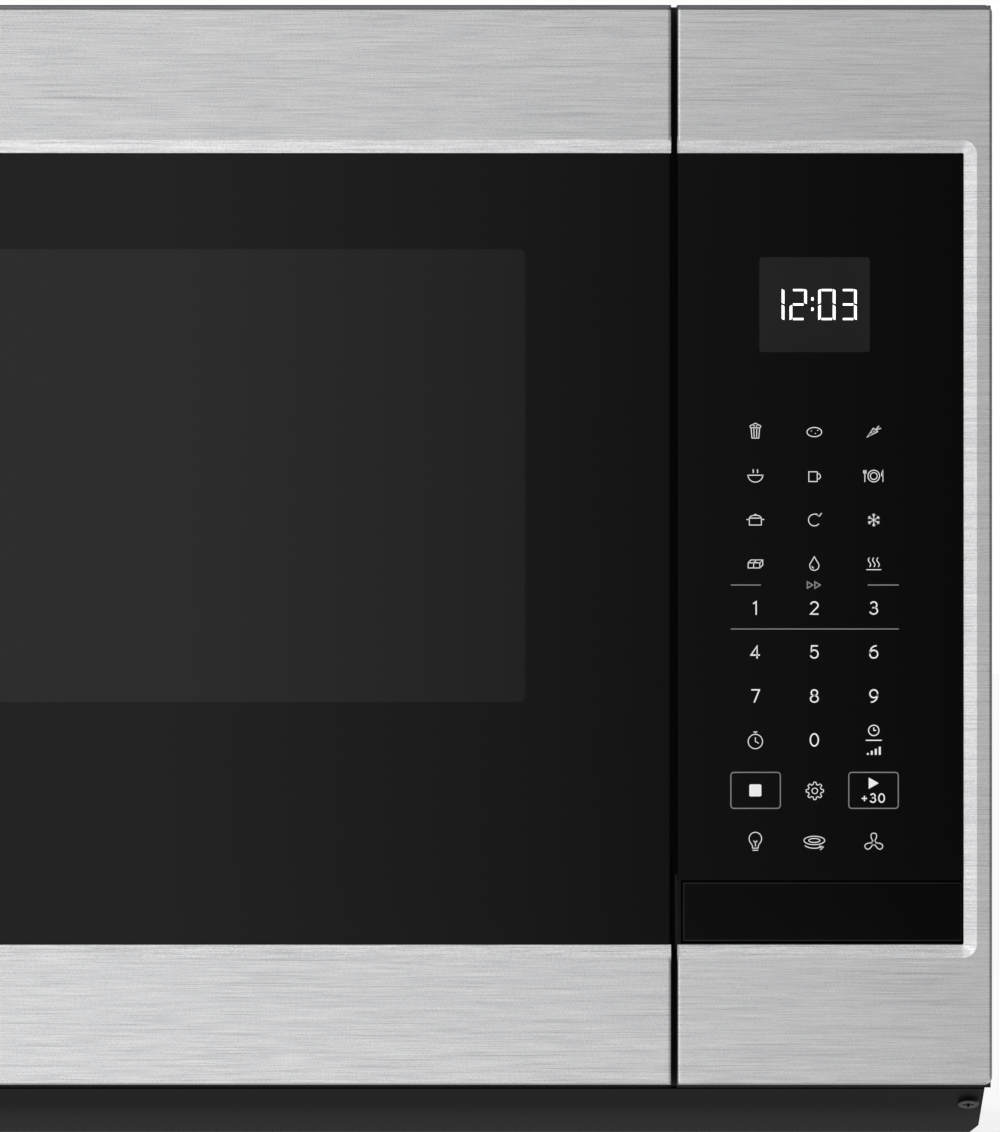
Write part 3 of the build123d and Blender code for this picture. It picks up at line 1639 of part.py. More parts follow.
with BuildPart() as fan_blade:
    rod(
        fan_shaft,
        (fan_x, shroud_y[0], fan_z),
        (fan_x, motor_front + fan_motor_depth, fan_z),
    )
    rod(fan_hub, (fan_x, shroud_y[0], fan_z), (fan_x, shroud_y[0] + fan_hub_depth, fan_z))
    for blade in range(fan_blades):
        turn = 2 * pi * blade / fan_blades
        pitch = radians(fan_pitch)
        place = Plane(
            origin=(fan_x, shroud_y[0] + fan_hub_depth / 2, fan_z),
            x_dir=(sin(turn), 0, cos(turn)),
            z_dir=(-sin(pitch) * cos(turn), cos(pitch), sin(pitch) * sin(turn)),
        )
        with BuildSketch(place):
            with Locations(((fan_hub + fan_radius) / 2 - fan_shaft, 0)):
                RectangleRounded(fan_radius - fan_hub, fan_blade_width, fan_blade_width / 4)
        extrude(amount=fan_blade_sheet)
fan_blade.part.label = "fan_blade"
export_step(fan_blade.part, "parts/fan_blade.step")

# blower
scroll_outer = scroll_inner + scroll_width
outlet_x = (-exhaust_width / 2 - exhaust_wall, exhaust_width / 2 + exhaust_wall)
outlet_y = (
    exhaust_y - exhaust_depth / 2 - exhaust_wall,
    exhaust_y + exhaust_depth / 2 + exhaust_wall,
)


def scroll_profile(wall):
    """Section of one blower scroll: a drum with an upward outlet behind it."""
    radius = blower_radius - wall
    with Locations((exhaust_y, blower_z)):
        Circle(radius)
    with Locations((exhaust_y + radius / 2, (blower_z + exhaust_bottom) / 2)):
        Rectangle(radius, exhaust_bottom - blower_z)


with BuildPart() as blower_housing:
    block(outlet_x, outlet_y, (exhaust_bottom - blower_wall, exhaust_bottom))
    for side in (-1, 1):
        near = side * scroll_inner
        far = side * scroll_outer
        with BuildSketch(Plane.YZ.offset(min(near, far))):
            scroll_profile(0)
        extrude(amount=scroll_width)
    # motor cradle between the scrolls
    block(
        (-scroll_inner, scroll_inner),
        (exhaust_y - blower_radius / 2, exhaust_y + blower_radius / 2),
        (blower_z - blower_radius, blower_z - blower_radius + blower_wall),
    )
    for side in (-1, 1):
        low_x = min(side * scroll_inner, side * scroll_outer)
        with BuildSketch(Plane.YZ.offset(low_x + blower_wall)):
            scroll_profile(blower_wall)
        extrude(amount=scroll_width - 2 * blower_wall, mode=Mode.SUBTRACT)
        rod(
            wheel_inner,
            (low_x, exhaust_y, blower_z),
            (low_x + scroll_width, exhaust_y, blower_z),
            Mode.SUBTRACT,
        )
blower_housing.part.label = "blower_housing"
export_step(blower_housing.part, "parts/blower_housing.step")

with BuildPart() as blower_motor:
    rod(
        blower_motor_radius,
        (-blower_motor_half, exhaust_y, blower_z),
        (blower_motor_half, exhaust_y, blower_z),
    )
    fillet(blower_motor.edges().filter_by(GeomType.CIRCLE), skin_corner)
    block(
        (-blower_motor_half / 2, blower_motor_half / 2),
        (exhaust_y - blower_radius / 2, exhaust_y + blower_radius / 2),
        (blower_z - blower_radius + blower_wall, blower_z - blower_motor_radius / 2),
    )
    rod(
        blower_shaft + pin_clearance,
        (-scroll_inner, exhaust_y, blower_z),
        (scroll_inner, exhaust_y, blower_z),
        Mode.SUBTRACT,
    )
blower_motor.part.label = "blower_motor"
export_step(blower_motor.part, "parts/blower_motor.step")

wheel_start = scroll_inner + (scroll_width - wheel_width) / 2
with BuildPart() as blower_rotor:
    # one shaft with a squirrel-cage wheel at each end
    rod(
        blower_shaft,
        (-wheel_start - wheel_width, exhaust_y, blower_z),
        (wheel_start + wheel_width, exhaust_y, blower_z),
    )
    for side in (-1, 1):
        low_x = min(side * wheel_start, side * (wheel_start + wheel_width))
        hub_x = wheel_start if side > 0 else -wheel_start - blower_wall
        rim_x = -wheel_start - wheel_width if side < 0 else wheel_start + wheel_width - blower_wall
        with BuildSketch(Plane.YZ.offset(hub_x)):
            with Locations((exhaust_y, blower_z)):
                Circle(wheel_radius)
        extrude(amount=blower_wall)
        with BuildSketch(Plane.YZ.offset(rim_x)):
            with Locations((exhaust_y, blower_z)):
                Circle(wheel_radius)
                Circle(wheel_inner, mode=Mode.SUBTRACT)
        extrude(amount=blower_wall)
        with BuildSketch(Plane.YZ.offset(low_x)):
            with Locations((exhaust_y, blower_z)):
                with PolarLocations((wheel_radius + wheel_inner) / 2, wheel_blades):
                    Rectangle(wheel_radius - wheel_inner - fit_gap, wheel_sheet, rotation=blade_tilt)
        extrude(amount=wheel_width)
blower_rotor.part.label = "blower_rotor"
export_step(blower_rotor.part, "parts/blower_rotor.step")

# exhaust and damper
pivot_y = exhaust_y + exhaust_depth / 2 - flap_edge
throat_x = (-exhaust_width / 2, exhaust_width / 2)
throat_y = (exhaust_y - exhaust_depth / 2, exhaust_y + exhaust_depth / 2)
exhaust_top = wrap_top + exhaust_wall

with BuildPart() as exhaust_frame:
    flange_x, flange_y = spans(throat_x, throat_y, exhaust_flange)
    block(flange_x, flange_y, (wrap_top, exhaust_top))
    fillet(exhaust_frame.edges().filter_by(Axis.Z), skin_corner)
    block(outlet_x, outlet_y, (exhaust_bottom, wrap_top))
    block(throat_x, throat_y, (exhaust_bottom, exhaust_top), Mode.SUBTRACT)
    # ledges that the closed flap rests on
    ledge_z = (flap_z - flap_thickness - fit_gap - exhaust_wall, flap_z - flap_thickness / 2 - fit_gap)
    block(throat_x, (throat_y[0], throat_y[0] + 2 * flap_gap), ledge_z)
    for side in (-1, 1):
        edge = side * exhaust_width / 2
        inner = edge - side * 2 * flap_gap
        block(
            (min(edge, inner), max(edge, inner)),
            (throat_y[0], pivot_y - 3 * flap_edge),
            ledge_z,
        )
    rod(
        flap_pin + pin_clearance,
        (outlet_x[0], pivot_y, flap_z),
        (outlet_x[1], pivot_y, flap_z),
        Mode.SUBTRACT,
    )
    for x_place in (-exhaust_screw_x / 2, exhaust_screw_x / 2):
        for y_place in (exhaust_y - exhaust_screw_y / 2, exhaust_y + exhaust_screw_y / 2):
            rod(
                exhaust_screw_radius,
                (x_place, y_place, wrap_top),
                (x_place, y_place, exhaust_top),
                Mode.SUBTRACT,
            )
exhaust_frame.part.label = "exhaust_frame"
export_step(exhaust_frame.part, "parts/exhaust_frame.step")

with BuildPart() as damper_flap:
    flap_x = (throat_x[0] + flap_gap, throat_x[1] - flap_gap)
    flap_span = (flap_z - flap_thickness / 2, flap_z + flap_thickness / 2)
    block(flap_x, (throat_y[0] + flap_gap, pivot_y), flap_span)
    rod(flap_pin, (outlet_x[0], pivot_y, flap_z), (outlet_x[1], pivot_y, flap_z))
    # pressed stiffening beads
    for share in (-1, 0, 1):
        x_place = share * exhaust_width / 3
        block(
            (x_place - flap_edge, x_place + flap_edge),
            (throat_y[0] + 5 * flap_gap, pivot_y - 5 * flap_gap),
            (flap_span[1], flap_span[1] + flap_thickness / 2),
        )
damper_flap.part.label = "damper_flap"
export_step(damper_flap.part, "parts/damper_flap.step")

# top front vent
with BuildPart() as vent_grille:
    grille_x, grille_z = spans(vent_opening_x, vent_opening_z, -fit_gap)
    block(grille_x, (body_front, body_front + vent_depth), grille_z)
    flange_x, flange_z = spans(vent_opening_x, vent_opening_z, vent_flange)
    block(flange_x, (frame_back, frame_back + cover_sheet), flange_z)
    inner_x, inner_z = spans(grille_x, grille_z, -frame_wall)
    block(inner_x, (body_front, body_front + vent_depth), inner_z, Mode.SUBTRACT)
    slat_pitch = (inner_z[1] - inner_z[0]) / (vent_slats + 1)
    for slat in range(vent_slats):
        slat_z = inner_z[0] + (slat + 1) * slat_pitch
        with BuildSketch(Plane.YZ.offset(inner_x[0])):
            with Locations((body_front + vent_depth / 2, slat_z)):
                Rectangle(vent_depth, cover_sheet, rotation=-vent_tilt)
        extrude(amount=inner_x[1] - inner_x[0])
    rib_pitch = (inner_x[1] - inner_x[0]) / (vent_ribs + 1)
    for rib in range(vent_ribs):
        rib_place = inner_x[0] + (rib + 1) * rib_pitch
        block(
            (rib_place - cover_sheet / 2, rib_place + cover_sheet / 2),
            (body_front + vent_depth / 2, body_front + vent_depth),
            inner_z,
        )
vent_grille.part.label = "vent_grille"
export_step(vent_grille.part, "parts/vent_grille.step")

with BuildPart() as charcoal_filter:
    filter_y = (body_front + vent_depth, body_front + vent_depth + filter_depth)
    block(grille_x, filter_y, grille_z)
    cell_width = (grille_x[1] - grille_x[0]) / filter_cells
    for cell in range(filter_cells):
        cell_x = grille_x[0] + (cell + 0.5) * cell_width
        for face, way in ((filter_y[0], 1), (filter_y[1], -1)):
            deep = face + way * frame_wall
            block(
                (cell_x - cell_width / 2 + frame_wall, cell_x + cell_width / 2 - frame_wall),
                (min(face, deep), max(face, deep)),
                (grille_z[0] + 2 * frame_wall, grille_z[1] - 2 * frame_wall),
                Mode.SUBTRACT,
            )
charcoal_filter.part.label = "charcoal_filter"
export_step(charcoal_filter.part, "parts/charcoal_filter.step")

# underside
slope_angle = degrees(atan2(wrap_bottom - pan_lip, slope_back - body_front))
grease_places = (("left", -grease_x), ("right", grease_x))


def slope_plane(x_place, z_place):
    """Plane on the pan's sloped front at a height, its normal outwards."""
    share = (wrap_bottom - pan_lip - z_place) / (wrap_bottom - pan_lip)
    y_place = body_front + share * (slope_back - body_front)
    tilt = radians(slope_angle)
    return Plane(origin=(x_place, y_place, z_place), z_dir=(0, -sin(tilt), -cos(tilt)))


with BuildPart() as bottom_pan:
    for z_place, half in ((0, pan_half - pan_draft), (wrap_bottom, pan_half)):
        with BuildSketch(Plane.XY.offset(z_place)):
            with Locations((0, (body_front + chassis_back) / 2)):
                Rectangle(2 * half, chassis_back - body_front)
    loft(ruled=True)
    with BuildSketch(Plane.YZ.offset(-half_width)):
        with BuildLine():
            Polyline(
                (body_front, wrap_bottom),
                (body_front, wrap_bottom - pan_lip),
                (slope_back, 0),
                (chassis_back, 0),
                (chassis_back, wrap_bottom),
                close=True,
            )
        make_face()
    extrude(amount=unit_width, mode=Mode.INTERSECT)
    flat_face = bottom_pan.faces().sort_by(Axis.Z)[0]
    chamfer(flat_face.edges().filter_by(Axis.Y), pan_edge)
    offset(amount=-pan_wall, openings=bottom_pan.faces().sort_by(Axis.Z)[-1])
    for side, x_place in grease_places:
        block(
            (x_place - grease_width / 2, x_place + grease_width / 2),
            (grease_y - grease_depth / 2, grease_y + grease_depth / 2),
            (0, pan_wall),
            Mode.SUBTRACT,
        )
    for x_place in (-lamp_x, lamp_x):
        block(
            (x_place - lens_width / 2 + lens_rest, x_place + lens_width / 2 - lens_rest),
            (lamp_y - lens_depth / 2 + lens_rest, lamp_y + lens_depth / 2 - lens_rest),
            (0, pan_wall),
            Mode.SUBTRACT,
        )
    for x_place in (-slope_screw_x, slope_screw_x):
        with BuildSketch(slope_plane(x_place, slope_screw_z)):
            Circle(screw_hole)
        extrude(amount=-2 * pan_wall, mode=Mode.SUBTRACT)
bottom_pan.part.label = "bottom_pan"
export_step(bottom_pan.part, "parts/bottom_pan.step")

grease_back = grease_y + grease_depth / 2
grease_z = pan_wall + fit_gap
for side, x_place in grease_places:
    body_x = (x_place - grease_width / 2 + grease_gap, x_place + grease_width / 2 - grease_gap)
    body_y = (grease_y - grease_depth / 2 + grease_gap, grease_back - grease_gap)
    body_z = (grease_low, grease_low + grease_height)
    with BuildPart() as grease_filter:
        # aluminium frame with the mesh pad thinner inside it
        block(body_x, body_y, body_z)
        fillet(grease_filter.edges().filter_by(Axis.Z), skin_corner)
        for level in (body_z[0], body_z[1] - frame_wall):
            block(
                (body_x[0] + mesh_border, body_x[1] - mesh_border),
                (body_y[0] + mesh_border, body_y[1] - mesh_border),
                (level, level + frame_wall),
                Mode.SUBTRACT,
            )
        # tabs over the pan's edge that the filter tilts about
        for tab in (-1, 1):
            tab_x = x_place + tab * grease_width / 4
            block(
                (tab_x - mesh_border, tab_x + mesh_border),
                (body_y[1] - fit_gap, grease_back + tab_reach),
                (grease_z, grease_z + pan_wall),
            )
    grease_filter.part.label = f"grease_filter_{side}"
    export_step(grease_filter.part, f"parts/grease_filter_{side}.step")

with BuildPart() as lamp_lenses:
    for x_place in (-lamp_x, lamp_x):
        block(
            (x_place - lens_width / 2, x_place + lens_width / 2),
            (lamp_y - lens_depth / 2, lamp_y + lens_depth / 2),
            (pan_wall, pan_wall + lens_thickness),
        )
    fillet(lamp_lenses.edges().filter_by(Axis.Z), skin_corner)
lamp_lenses.part.label = "lamp_lenses"
export_step(lamp_lenses.part, "parts/lamp_lenses.step")

with BuildPart() as cooktop_lamps:
    # lamp module under the chassis floor: heat sink, board and two domes
    for x_place in (-lamp_x, lamp_x):
        block(
            (x_place - lens_width / 3, x_place + lens_width / 3),
            (lamp_y - lens_depth / 3, lamp_y + lens_depth / 3),
            (wrap_bottom - module_height, wrap_bottom),
        )
        for dome in (-1, 1):
            dome_x = x_place + dome * lens_width / 6
            with BuildSketch(Plane.XY.offset(wrap_bottom - module_height)):
                with Locations((dome_x, lamp_y)):
                    Circle(dome_radius)
            extrude(amount=-dome_radius / 2, taper=20)
cooktop_lamps.part.label = "cooktop_lamps"
export_step(cooktop_lamps.part, "parts/cooktop_lamps.step")

# enclosure
duct_y = (duct_front, duct_back)
left_duct_x = (-wrap_inner + duct_border, outer_left - duct_border)
right_duct_x = (right_duct, wrap_inner - duct_border)

with BuildPart() as base_plate:
    block((-wrap_inner, wrap_inner), (frame_back, chassis_back), (wrap_bottom, floor_top))
    for x_span in (left_duct_x, right_duct_x):
        block(x_span, duct_y, (wrap_bottom, floor_top), Mode.SUBTRACT)
base_plate.part.label = "base_plate"
export_step(base_plate.part, "parts/base_plate.step")

with BuildPart() as outer_wrap:
    with BuildSketch(facing(frame_back)):
        with Locations((0, (wrap_top + wrap_bottom) / 2)):
            Rectangle(2 * wrap_half, wrap_top - wrap_bottom)
    extrude(amount=-(chassis_back - frame_back))
    fillet(outer_wrap.faces().sort_by(Axis.Z)[-1].edges().filter_by(Axis.Y), skin_corner)
    offset(
        amount=-chassis_sheet,
        openings=[
            outer_wrap.faces().sort_by(Axis.Y)[0],
            outer_wrap.faces().sort_by(Axis.Y)[-1],
            outer_wrap.faces().sort_by(Axis.Z)[0],
        ],
    )
    hole_x, hole_y = spans(outlet_x, outlet_y, fit_gap)
    block(hole_x, hole_y, (wrap_ceiling, wrap_top), Mode.SUBTRACT)
    for x_place in (-exhaust_screw_x / 2, exhaust_screw_x / 2):
        for y_place in (exhaust_y - exhaust_screw_y / 2, exhaust_y + exhaust_screw_y / 2):
            rod(
                exhaust_screw_radius,
                (x_place, y_place, wrap_ceiling),
                (x_place, y_place, wrap_top),
                Mode.SUBTRACT,
            )
    rod(
        grommet_radius,
        (grommet_x, grommet_y, wrap_ceiling),
        (grommet_x, grommet_y, wrap_top),
        Mode.SUBTRACT,
    )
    # weld nuts under the two cabinet bolt holes
    for x_place in (-top_bolt_x / 2, top_bolt_x / 2):
        rod(
            2 * top_bolt_radius,
            (x_place, top_bolt_y, wrap_ceiling - 2 * top_bolt_radius),
            (x_place, top_bolt_y, wrap_ceiling),
        )
        rod(
            top_bolt_radius,
            (x_place, top_bolt_y, wrap_ceiling - 2 * top_bolt_radius),
            (x_place, top_bolt_y, wrap_top),
            Mode.SUBTRACT,
        )
    for x_side in (-1, 1):
        for z_place in side_screw_z:
            rod(
                screw_hole,
                (x_side * wrap_inner, flange_screw_y, z_place),
                (x_side * wrap_half, flange_screw_y, z_place),
                Mode.SUBTRACT,
            )
    for x_place in top_screw_x:
        rod(
            screw_hole,
            (x_place, flange_screw_y, wrap_ceiling),
            (x_place, flange_screw_y, wrap_top),
            Mode.SUBTRACT,
        )
outer_wrap.part.label = "outer_wrap"
export_step(outer_wrap.part, "parts/outer_wrap.step")

with BuildPart() as back_panel:
    # folded tray behind the chassis: face, two side flanges and a top flange
    back_x = (-wrap_inner, wrap_inner)
    back_z = (floor_top, wrap_ceiling)
    block(back_x, (flange_front, chassis_back), back_z)
    fillet(
        back_panel.faces().sort_by(Axis.Z)[-1].edges().filter_by(Axis.Y),
        skin_corner - chassis_sheet,
    )
    block(
        (back_x[0] + panel_sheet, back_x[1] - panel_sheet),
        (flange_front, back_face),
        (back_z[0], back_z[1] - panel_sheet),
        Mode.SUBTRACT,
    )
    for x_place in (-hook_x, hook_x):
        block(
            (x_place - hook_width, x_place + hook_width),
            (back_face, chassis_back),
            (hook_z_low - fit_gap, hook_z_low + hook_rise + 2 * fit_gap),
            Mode.SUBTRACT,
        )
    for x_side in (-1, 1):
        for z_place in side_screw_z:
            rod(
                screw_hole,
                (x_side * (wrap_inner - panel_sheet), flange_screw_y, z_place),
                (x_side * wrap_inner, flange_screw_y, z_place),
                Mode.SUBTRACT,
            )
    for x_place in top_screw_x:
        rod(
            screw_hole,
            (x_place, flange_screw_y, wrap_ceiling - panel_sheet),
            (x_place, flange_screw_y, wrap_ceiling),
            Mode.SUBTRACT,
        )
back_panel.part.label = "back_panel"
export_step(back_panel.part, "parts/back_panel.step")

with BuildPart() as wall_plate:
    # plate screwed to the wall; its pads meet the back panel and its hooks carry it
    plate_y = (rear_y - plate_sheet, rear_y)
    block((-plate_half, plate_half), plate_y, (plate_low, plate_high))
    fillet(wall_plate.edges().filter_by(Axis.Y), skin_corner)
    block(
        (-plate_window_x, plate_window_x),
        plate_y,
        (wall_bolt_middle - plate_window_z, wall_bolt_middle + plate_window_z),
        Mode.SUBTRACT,
    )
    for x_place in (-wall_bolt_x / 2, wall_bolt_x / 2):
        for z_place in (wall_bolt_middle - wall_bolt_z / 2, wall_bolt_middle + wall_bolt_z / 2):
            rod(
                wall_bolt_radius,
                (x_place, plate_y[0], z_place),
                (x_place, plate_y[1], z_place),
                Mode.SUBTRACT,
            )
    for x_place in (-pad_x, pad_x):
        for z_place in (plate_low + pad_inset, plate_high - pad_inset):
            rod(
                pad_radius,
                (x_place, chassis_back, z_place),
                (x_place, plate_y[0], z_place),
            )
    for x_place in (-hook_x, hook_x):
        half = hook_width - hook_side_gap
        block(
            (x_place - half, x_place + half),
            (back_face - 2 * plate_sheet, plate_y[0]),
            (hook_z_low, hook_z_low + plate_sheet),
        )
        block(
            (x_place - half, x_place + half),
            (back_face - 2 * plate_sheet, back_face - plate_sheet),
            (hook_z_low, hook_z_low + hook_rise),
        )
wall_plate.part.label = "wall_plate"
export_step(wall_plate.part, "parts/wall_plate.step")

with BuildPart() as case_screws:
    for x_side in (-1, 1):
        for z_place in side_screw_z:
            screw(Plane(origin=(x_side * wrap_half, flange_screw_y, z_place), z_dir=(x_side, 0, 0)))
        screw(slope_plane(x_side * slope_screw_x, slope_screw_z))
    for x_place in top_screw_x:
        screw(Plane(origin=(x_place, flange_screw_y, wrap_top), z_dir=(0, 0, 1)))
case_screws.part.label = "case_screws"
export_step(case_screws.part, "parts/case_screws.step")

with BuildPart() as cord_grommet:
    # bush in the top through which the supply lead enters
    for radius, z_low, z_high in (
        (grommet_radius + frame_wall, wrap_top, wrap_top + frame_wall),
        (grommet_radius, wrap_ceiling, wrap_top),
        (grommet_radius + frame_wall, wrap_ceiling - frame_wall, wrap_ceiling),
    ):
        rod(radius, (grommet_x, grommet_y, z_low), (grommet_x, grommet_y, z_high))
    rod(
        grommet_hole,
        (grommet_x, grommet_y, wrap_ceiling - frame_wall),
        (grommet_x, grommet_y, wrap_top + frame_wall),
        Mode.SUBTRACT,
    )
cord_grommet.part.label = "cord_grommet"
export_step(cord_grommet.part, "parts/cord_grommet.step")
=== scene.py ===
import bmesh
import bpy
import json
from math import cos, hypot, pi, radians, sin
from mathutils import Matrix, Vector

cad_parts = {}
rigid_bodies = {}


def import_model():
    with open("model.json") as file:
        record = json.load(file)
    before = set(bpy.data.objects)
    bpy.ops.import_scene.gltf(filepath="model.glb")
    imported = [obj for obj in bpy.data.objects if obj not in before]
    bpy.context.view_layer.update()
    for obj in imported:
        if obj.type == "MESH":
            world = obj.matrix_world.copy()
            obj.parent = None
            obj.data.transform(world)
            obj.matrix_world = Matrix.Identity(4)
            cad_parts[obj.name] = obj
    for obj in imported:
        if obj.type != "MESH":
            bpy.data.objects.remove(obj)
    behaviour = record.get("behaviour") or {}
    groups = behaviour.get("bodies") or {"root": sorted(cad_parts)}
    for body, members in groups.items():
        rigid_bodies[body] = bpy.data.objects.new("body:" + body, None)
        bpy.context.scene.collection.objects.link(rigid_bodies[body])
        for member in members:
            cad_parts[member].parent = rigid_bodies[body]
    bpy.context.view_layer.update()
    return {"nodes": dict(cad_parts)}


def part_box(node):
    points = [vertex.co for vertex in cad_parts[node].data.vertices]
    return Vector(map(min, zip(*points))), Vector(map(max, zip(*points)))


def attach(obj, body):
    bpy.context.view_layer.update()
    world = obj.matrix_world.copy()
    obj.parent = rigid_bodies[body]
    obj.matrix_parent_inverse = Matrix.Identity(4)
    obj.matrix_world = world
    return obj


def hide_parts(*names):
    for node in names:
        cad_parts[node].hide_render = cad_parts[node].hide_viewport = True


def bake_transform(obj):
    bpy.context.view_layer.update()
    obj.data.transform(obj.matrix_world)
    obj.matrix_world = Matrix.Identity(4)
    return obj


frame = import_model()
print("frame loaded")

# the photograph: square on to the right half of the front, its left edge at the unit's middle
photo = {
    "width": 1000,
    "height": 1132,
    "scale": 0.0003832,  # metres for one pixel at the front face
    "left": 2.0,  # column of the unit's middle
    "row": 566.0,  # the frame's middle row
    "level": 0.2196,  # height of that row
    "distance": 7.0,  # from the camera to the front face
    "sensor": 36.0,  # millimetres of the camera's sensor, upright
}


def px(column):
    return (column - photo["left"]) * photo["scale"]


def pz(row):
    return photo["level"] + (photo["row"] - row) * photo["scale"]


def paint(red, green, blue):
    # screen values 0 to 255 as a linear colour
    shades = [value / 255 for value in (red, green, blue)]
    return tuple(s / 12.92 if s < 0.04 else ((s + 0.055) / 1.055) ** 2.4 for s in shades) + (1.0,)


def grey(level):
    return paint(level, level, level)


class Value:
    # a number socket: arithmetic on it adds Math nodes
    def __init__(self, tree, socket):
        self.tree = tree
        self.socket = socket

    def __add__(self, other):
        return self.tree.math("ADD", self, other)

    def __radd__(self, other):
        return self.tree.math("ADD", other, self)

    def __sub__(self, other):
        return self.tree.math("SUBTRACT", self, other)

    def __rsub__(self, other):
        return self.tree.math("SUBTRACT", other, self)

    def __mul__(self, other):
        return self.tree.math("MULTIPLY", self, other)

    def __rmul__(self, other):
        return self.tree.math("MULTIPLY", other, self)

    def __truediv__(self, other):
        return self.tree.math("DIVIDE", self, other)

    def __rtruediv__(self, other):
        return self.tree.math("DIVIDE", other, self)

    def __gt__(self, other):
        return self.tree.math("GREATER_THAN", self, other)

    def __lt__(self, other):
        return self.tree.math("LESS_THAN", self, other)

    def absolute(self):
        return self.tree.math("ABSOLUTE", self)

    def sine(self):
        return self.tree.math("SINE", self)

    def step(self, low, high):
        # 0 under low, 1 over high
        made = self.tree.node(
            "ShaderNodeMapRange", {"clamp": True}, {0: self, 1: low, 2: high, 3: 0.0, 4: 1.0}
        )
        return Value(self.tree, made.outputs[0])


class Nodes:
    # a node tree being filled: settings first, then the sockets, where a node or a Value is linked
    def __init__(self, tree):
        self.tree = tree

    def node(self, kind, settings=None, values=None):
        made = self.tree.nodes.new(kind)
        for key, value in (settings or {}).items():
            if key == "stops":
                ramp = made.color_ramp.elements
                while len(ramp) < len(value):
                    ramp.new(1.0)
                for stop, (place, color) in zip(ramp, value):
                    stop.position = place
                    stop.color = color
            else:
                setattr(made, key, value)
        for key, value in (values or {}).items():
            if isinstance(value, bpy.types.Node):
                value = value.outputs[0]
            if isinstance(value, Value):
                value = value.socket
            if isinstance(value, bpy.types.NodeSocket):
                self.tree.links.new(value, made.inputs[key])
            else:
                made.inputs[key].default_value = value
        return made

    def math(self, operation, *terms):
        made = self.node("ShaderNodeMath", {"operation": operation}, dict(enumerate(terms)))
        return Value(self, made.outputs[0])

    def vector(self, x=0.0, y=0.0, z=0.0):
        return self.node("ShaderNodeCombineXYZ", {}, {0: x, 1: y, 2: z})

    def parts(self, vector):
        # the three numbers of a vector
        made = self.node("ShaderNodeSeparateXYZ", {}, {0: vector})
        return [Value(self, socket) for socket in made.outputs]

    def shown(self):
        # 1 where the camera, a mirror or clear glass shows it, 0 where it only lights the object
        path = self.node("ShaderNodeLightPath")
        camera, mirror, clear = (
            Value(self, path.outputs[f"Is {kind} Ray"]) for kind in ("Camera", "Glossy", "Transmission")
        )
        return self.math("MAXIMUM", camera, self.math("MAXIMUM", mirror, clear))


class Finish(Nodes):
    # one material: patterns read object coordinates
    def __init__(self, name):
        self.material = bpy.data.materials.new(name)
        self.material.use_nodes = True
        super().__init__(self.material.node_tree)
        self.tree.nodes.clear()
        self.place = self.node("ShaderNodeTexCoord").outputs["Object"]

    def axes(self):
        return self.parts(self.place)

    def facing(self):
        # the surface's own direction, as three numbers
        return self.parts(self.node("ShaderNodeNewGeometry").outputs["Normal"])

    def scaled(self, cycles):
        # cycles for one metre: along X, Y and Z, or one number for all three
        stretch = cycles if isinstance(cycles, tuple) else (cycles, cycles, cycles)
        return self.node("ShaderNodeMapping", {}, {"Vector": self.place, "Scale": stretch})

    def noise(self, cycles, detail=2.0, rough=0.5):
        values = {"Vector": self.scaled(cycles), "Scale": 1.0, "Detail": detail, "Roughness": rough}
        return Value(self, self.node("ShaderNodeTexNoise", {}, values).outputs[0])

    def cells(self, cycles, output="Distance", feature="F1"):
        values = {"Vector": self.scaled(cycles), "Scale": 1.0}
        made = self.node("ShaderNodeTexVoronoi", {"feature": feature}, values)
        return Value(self, made.outputs[output])

    def mix(self, amount, first, second):
        values = {0: amount, 6: first, 7: second}
        return self.node("ShaderNodeMix", {"data_type": "RGBA"}, values).outputs[2]

    def bump(self, height, distance):
        return self.node("ShaderNodeBump", {}, {"Height": height, "Distance": distance, "Strength": 1.0})

    def surface(self, values):
        shader = self.node("ShaderNodeBsdfPrincipled", {}, values)
        self.node("ShaderNodeOutputMaterial", {}, {"Surface": shader})
        return self.material


def addObject(name, data):
    made = bpy.data.objects.new(name, data)
    bpy.context.scene.collection.objects.link(made)
    return made


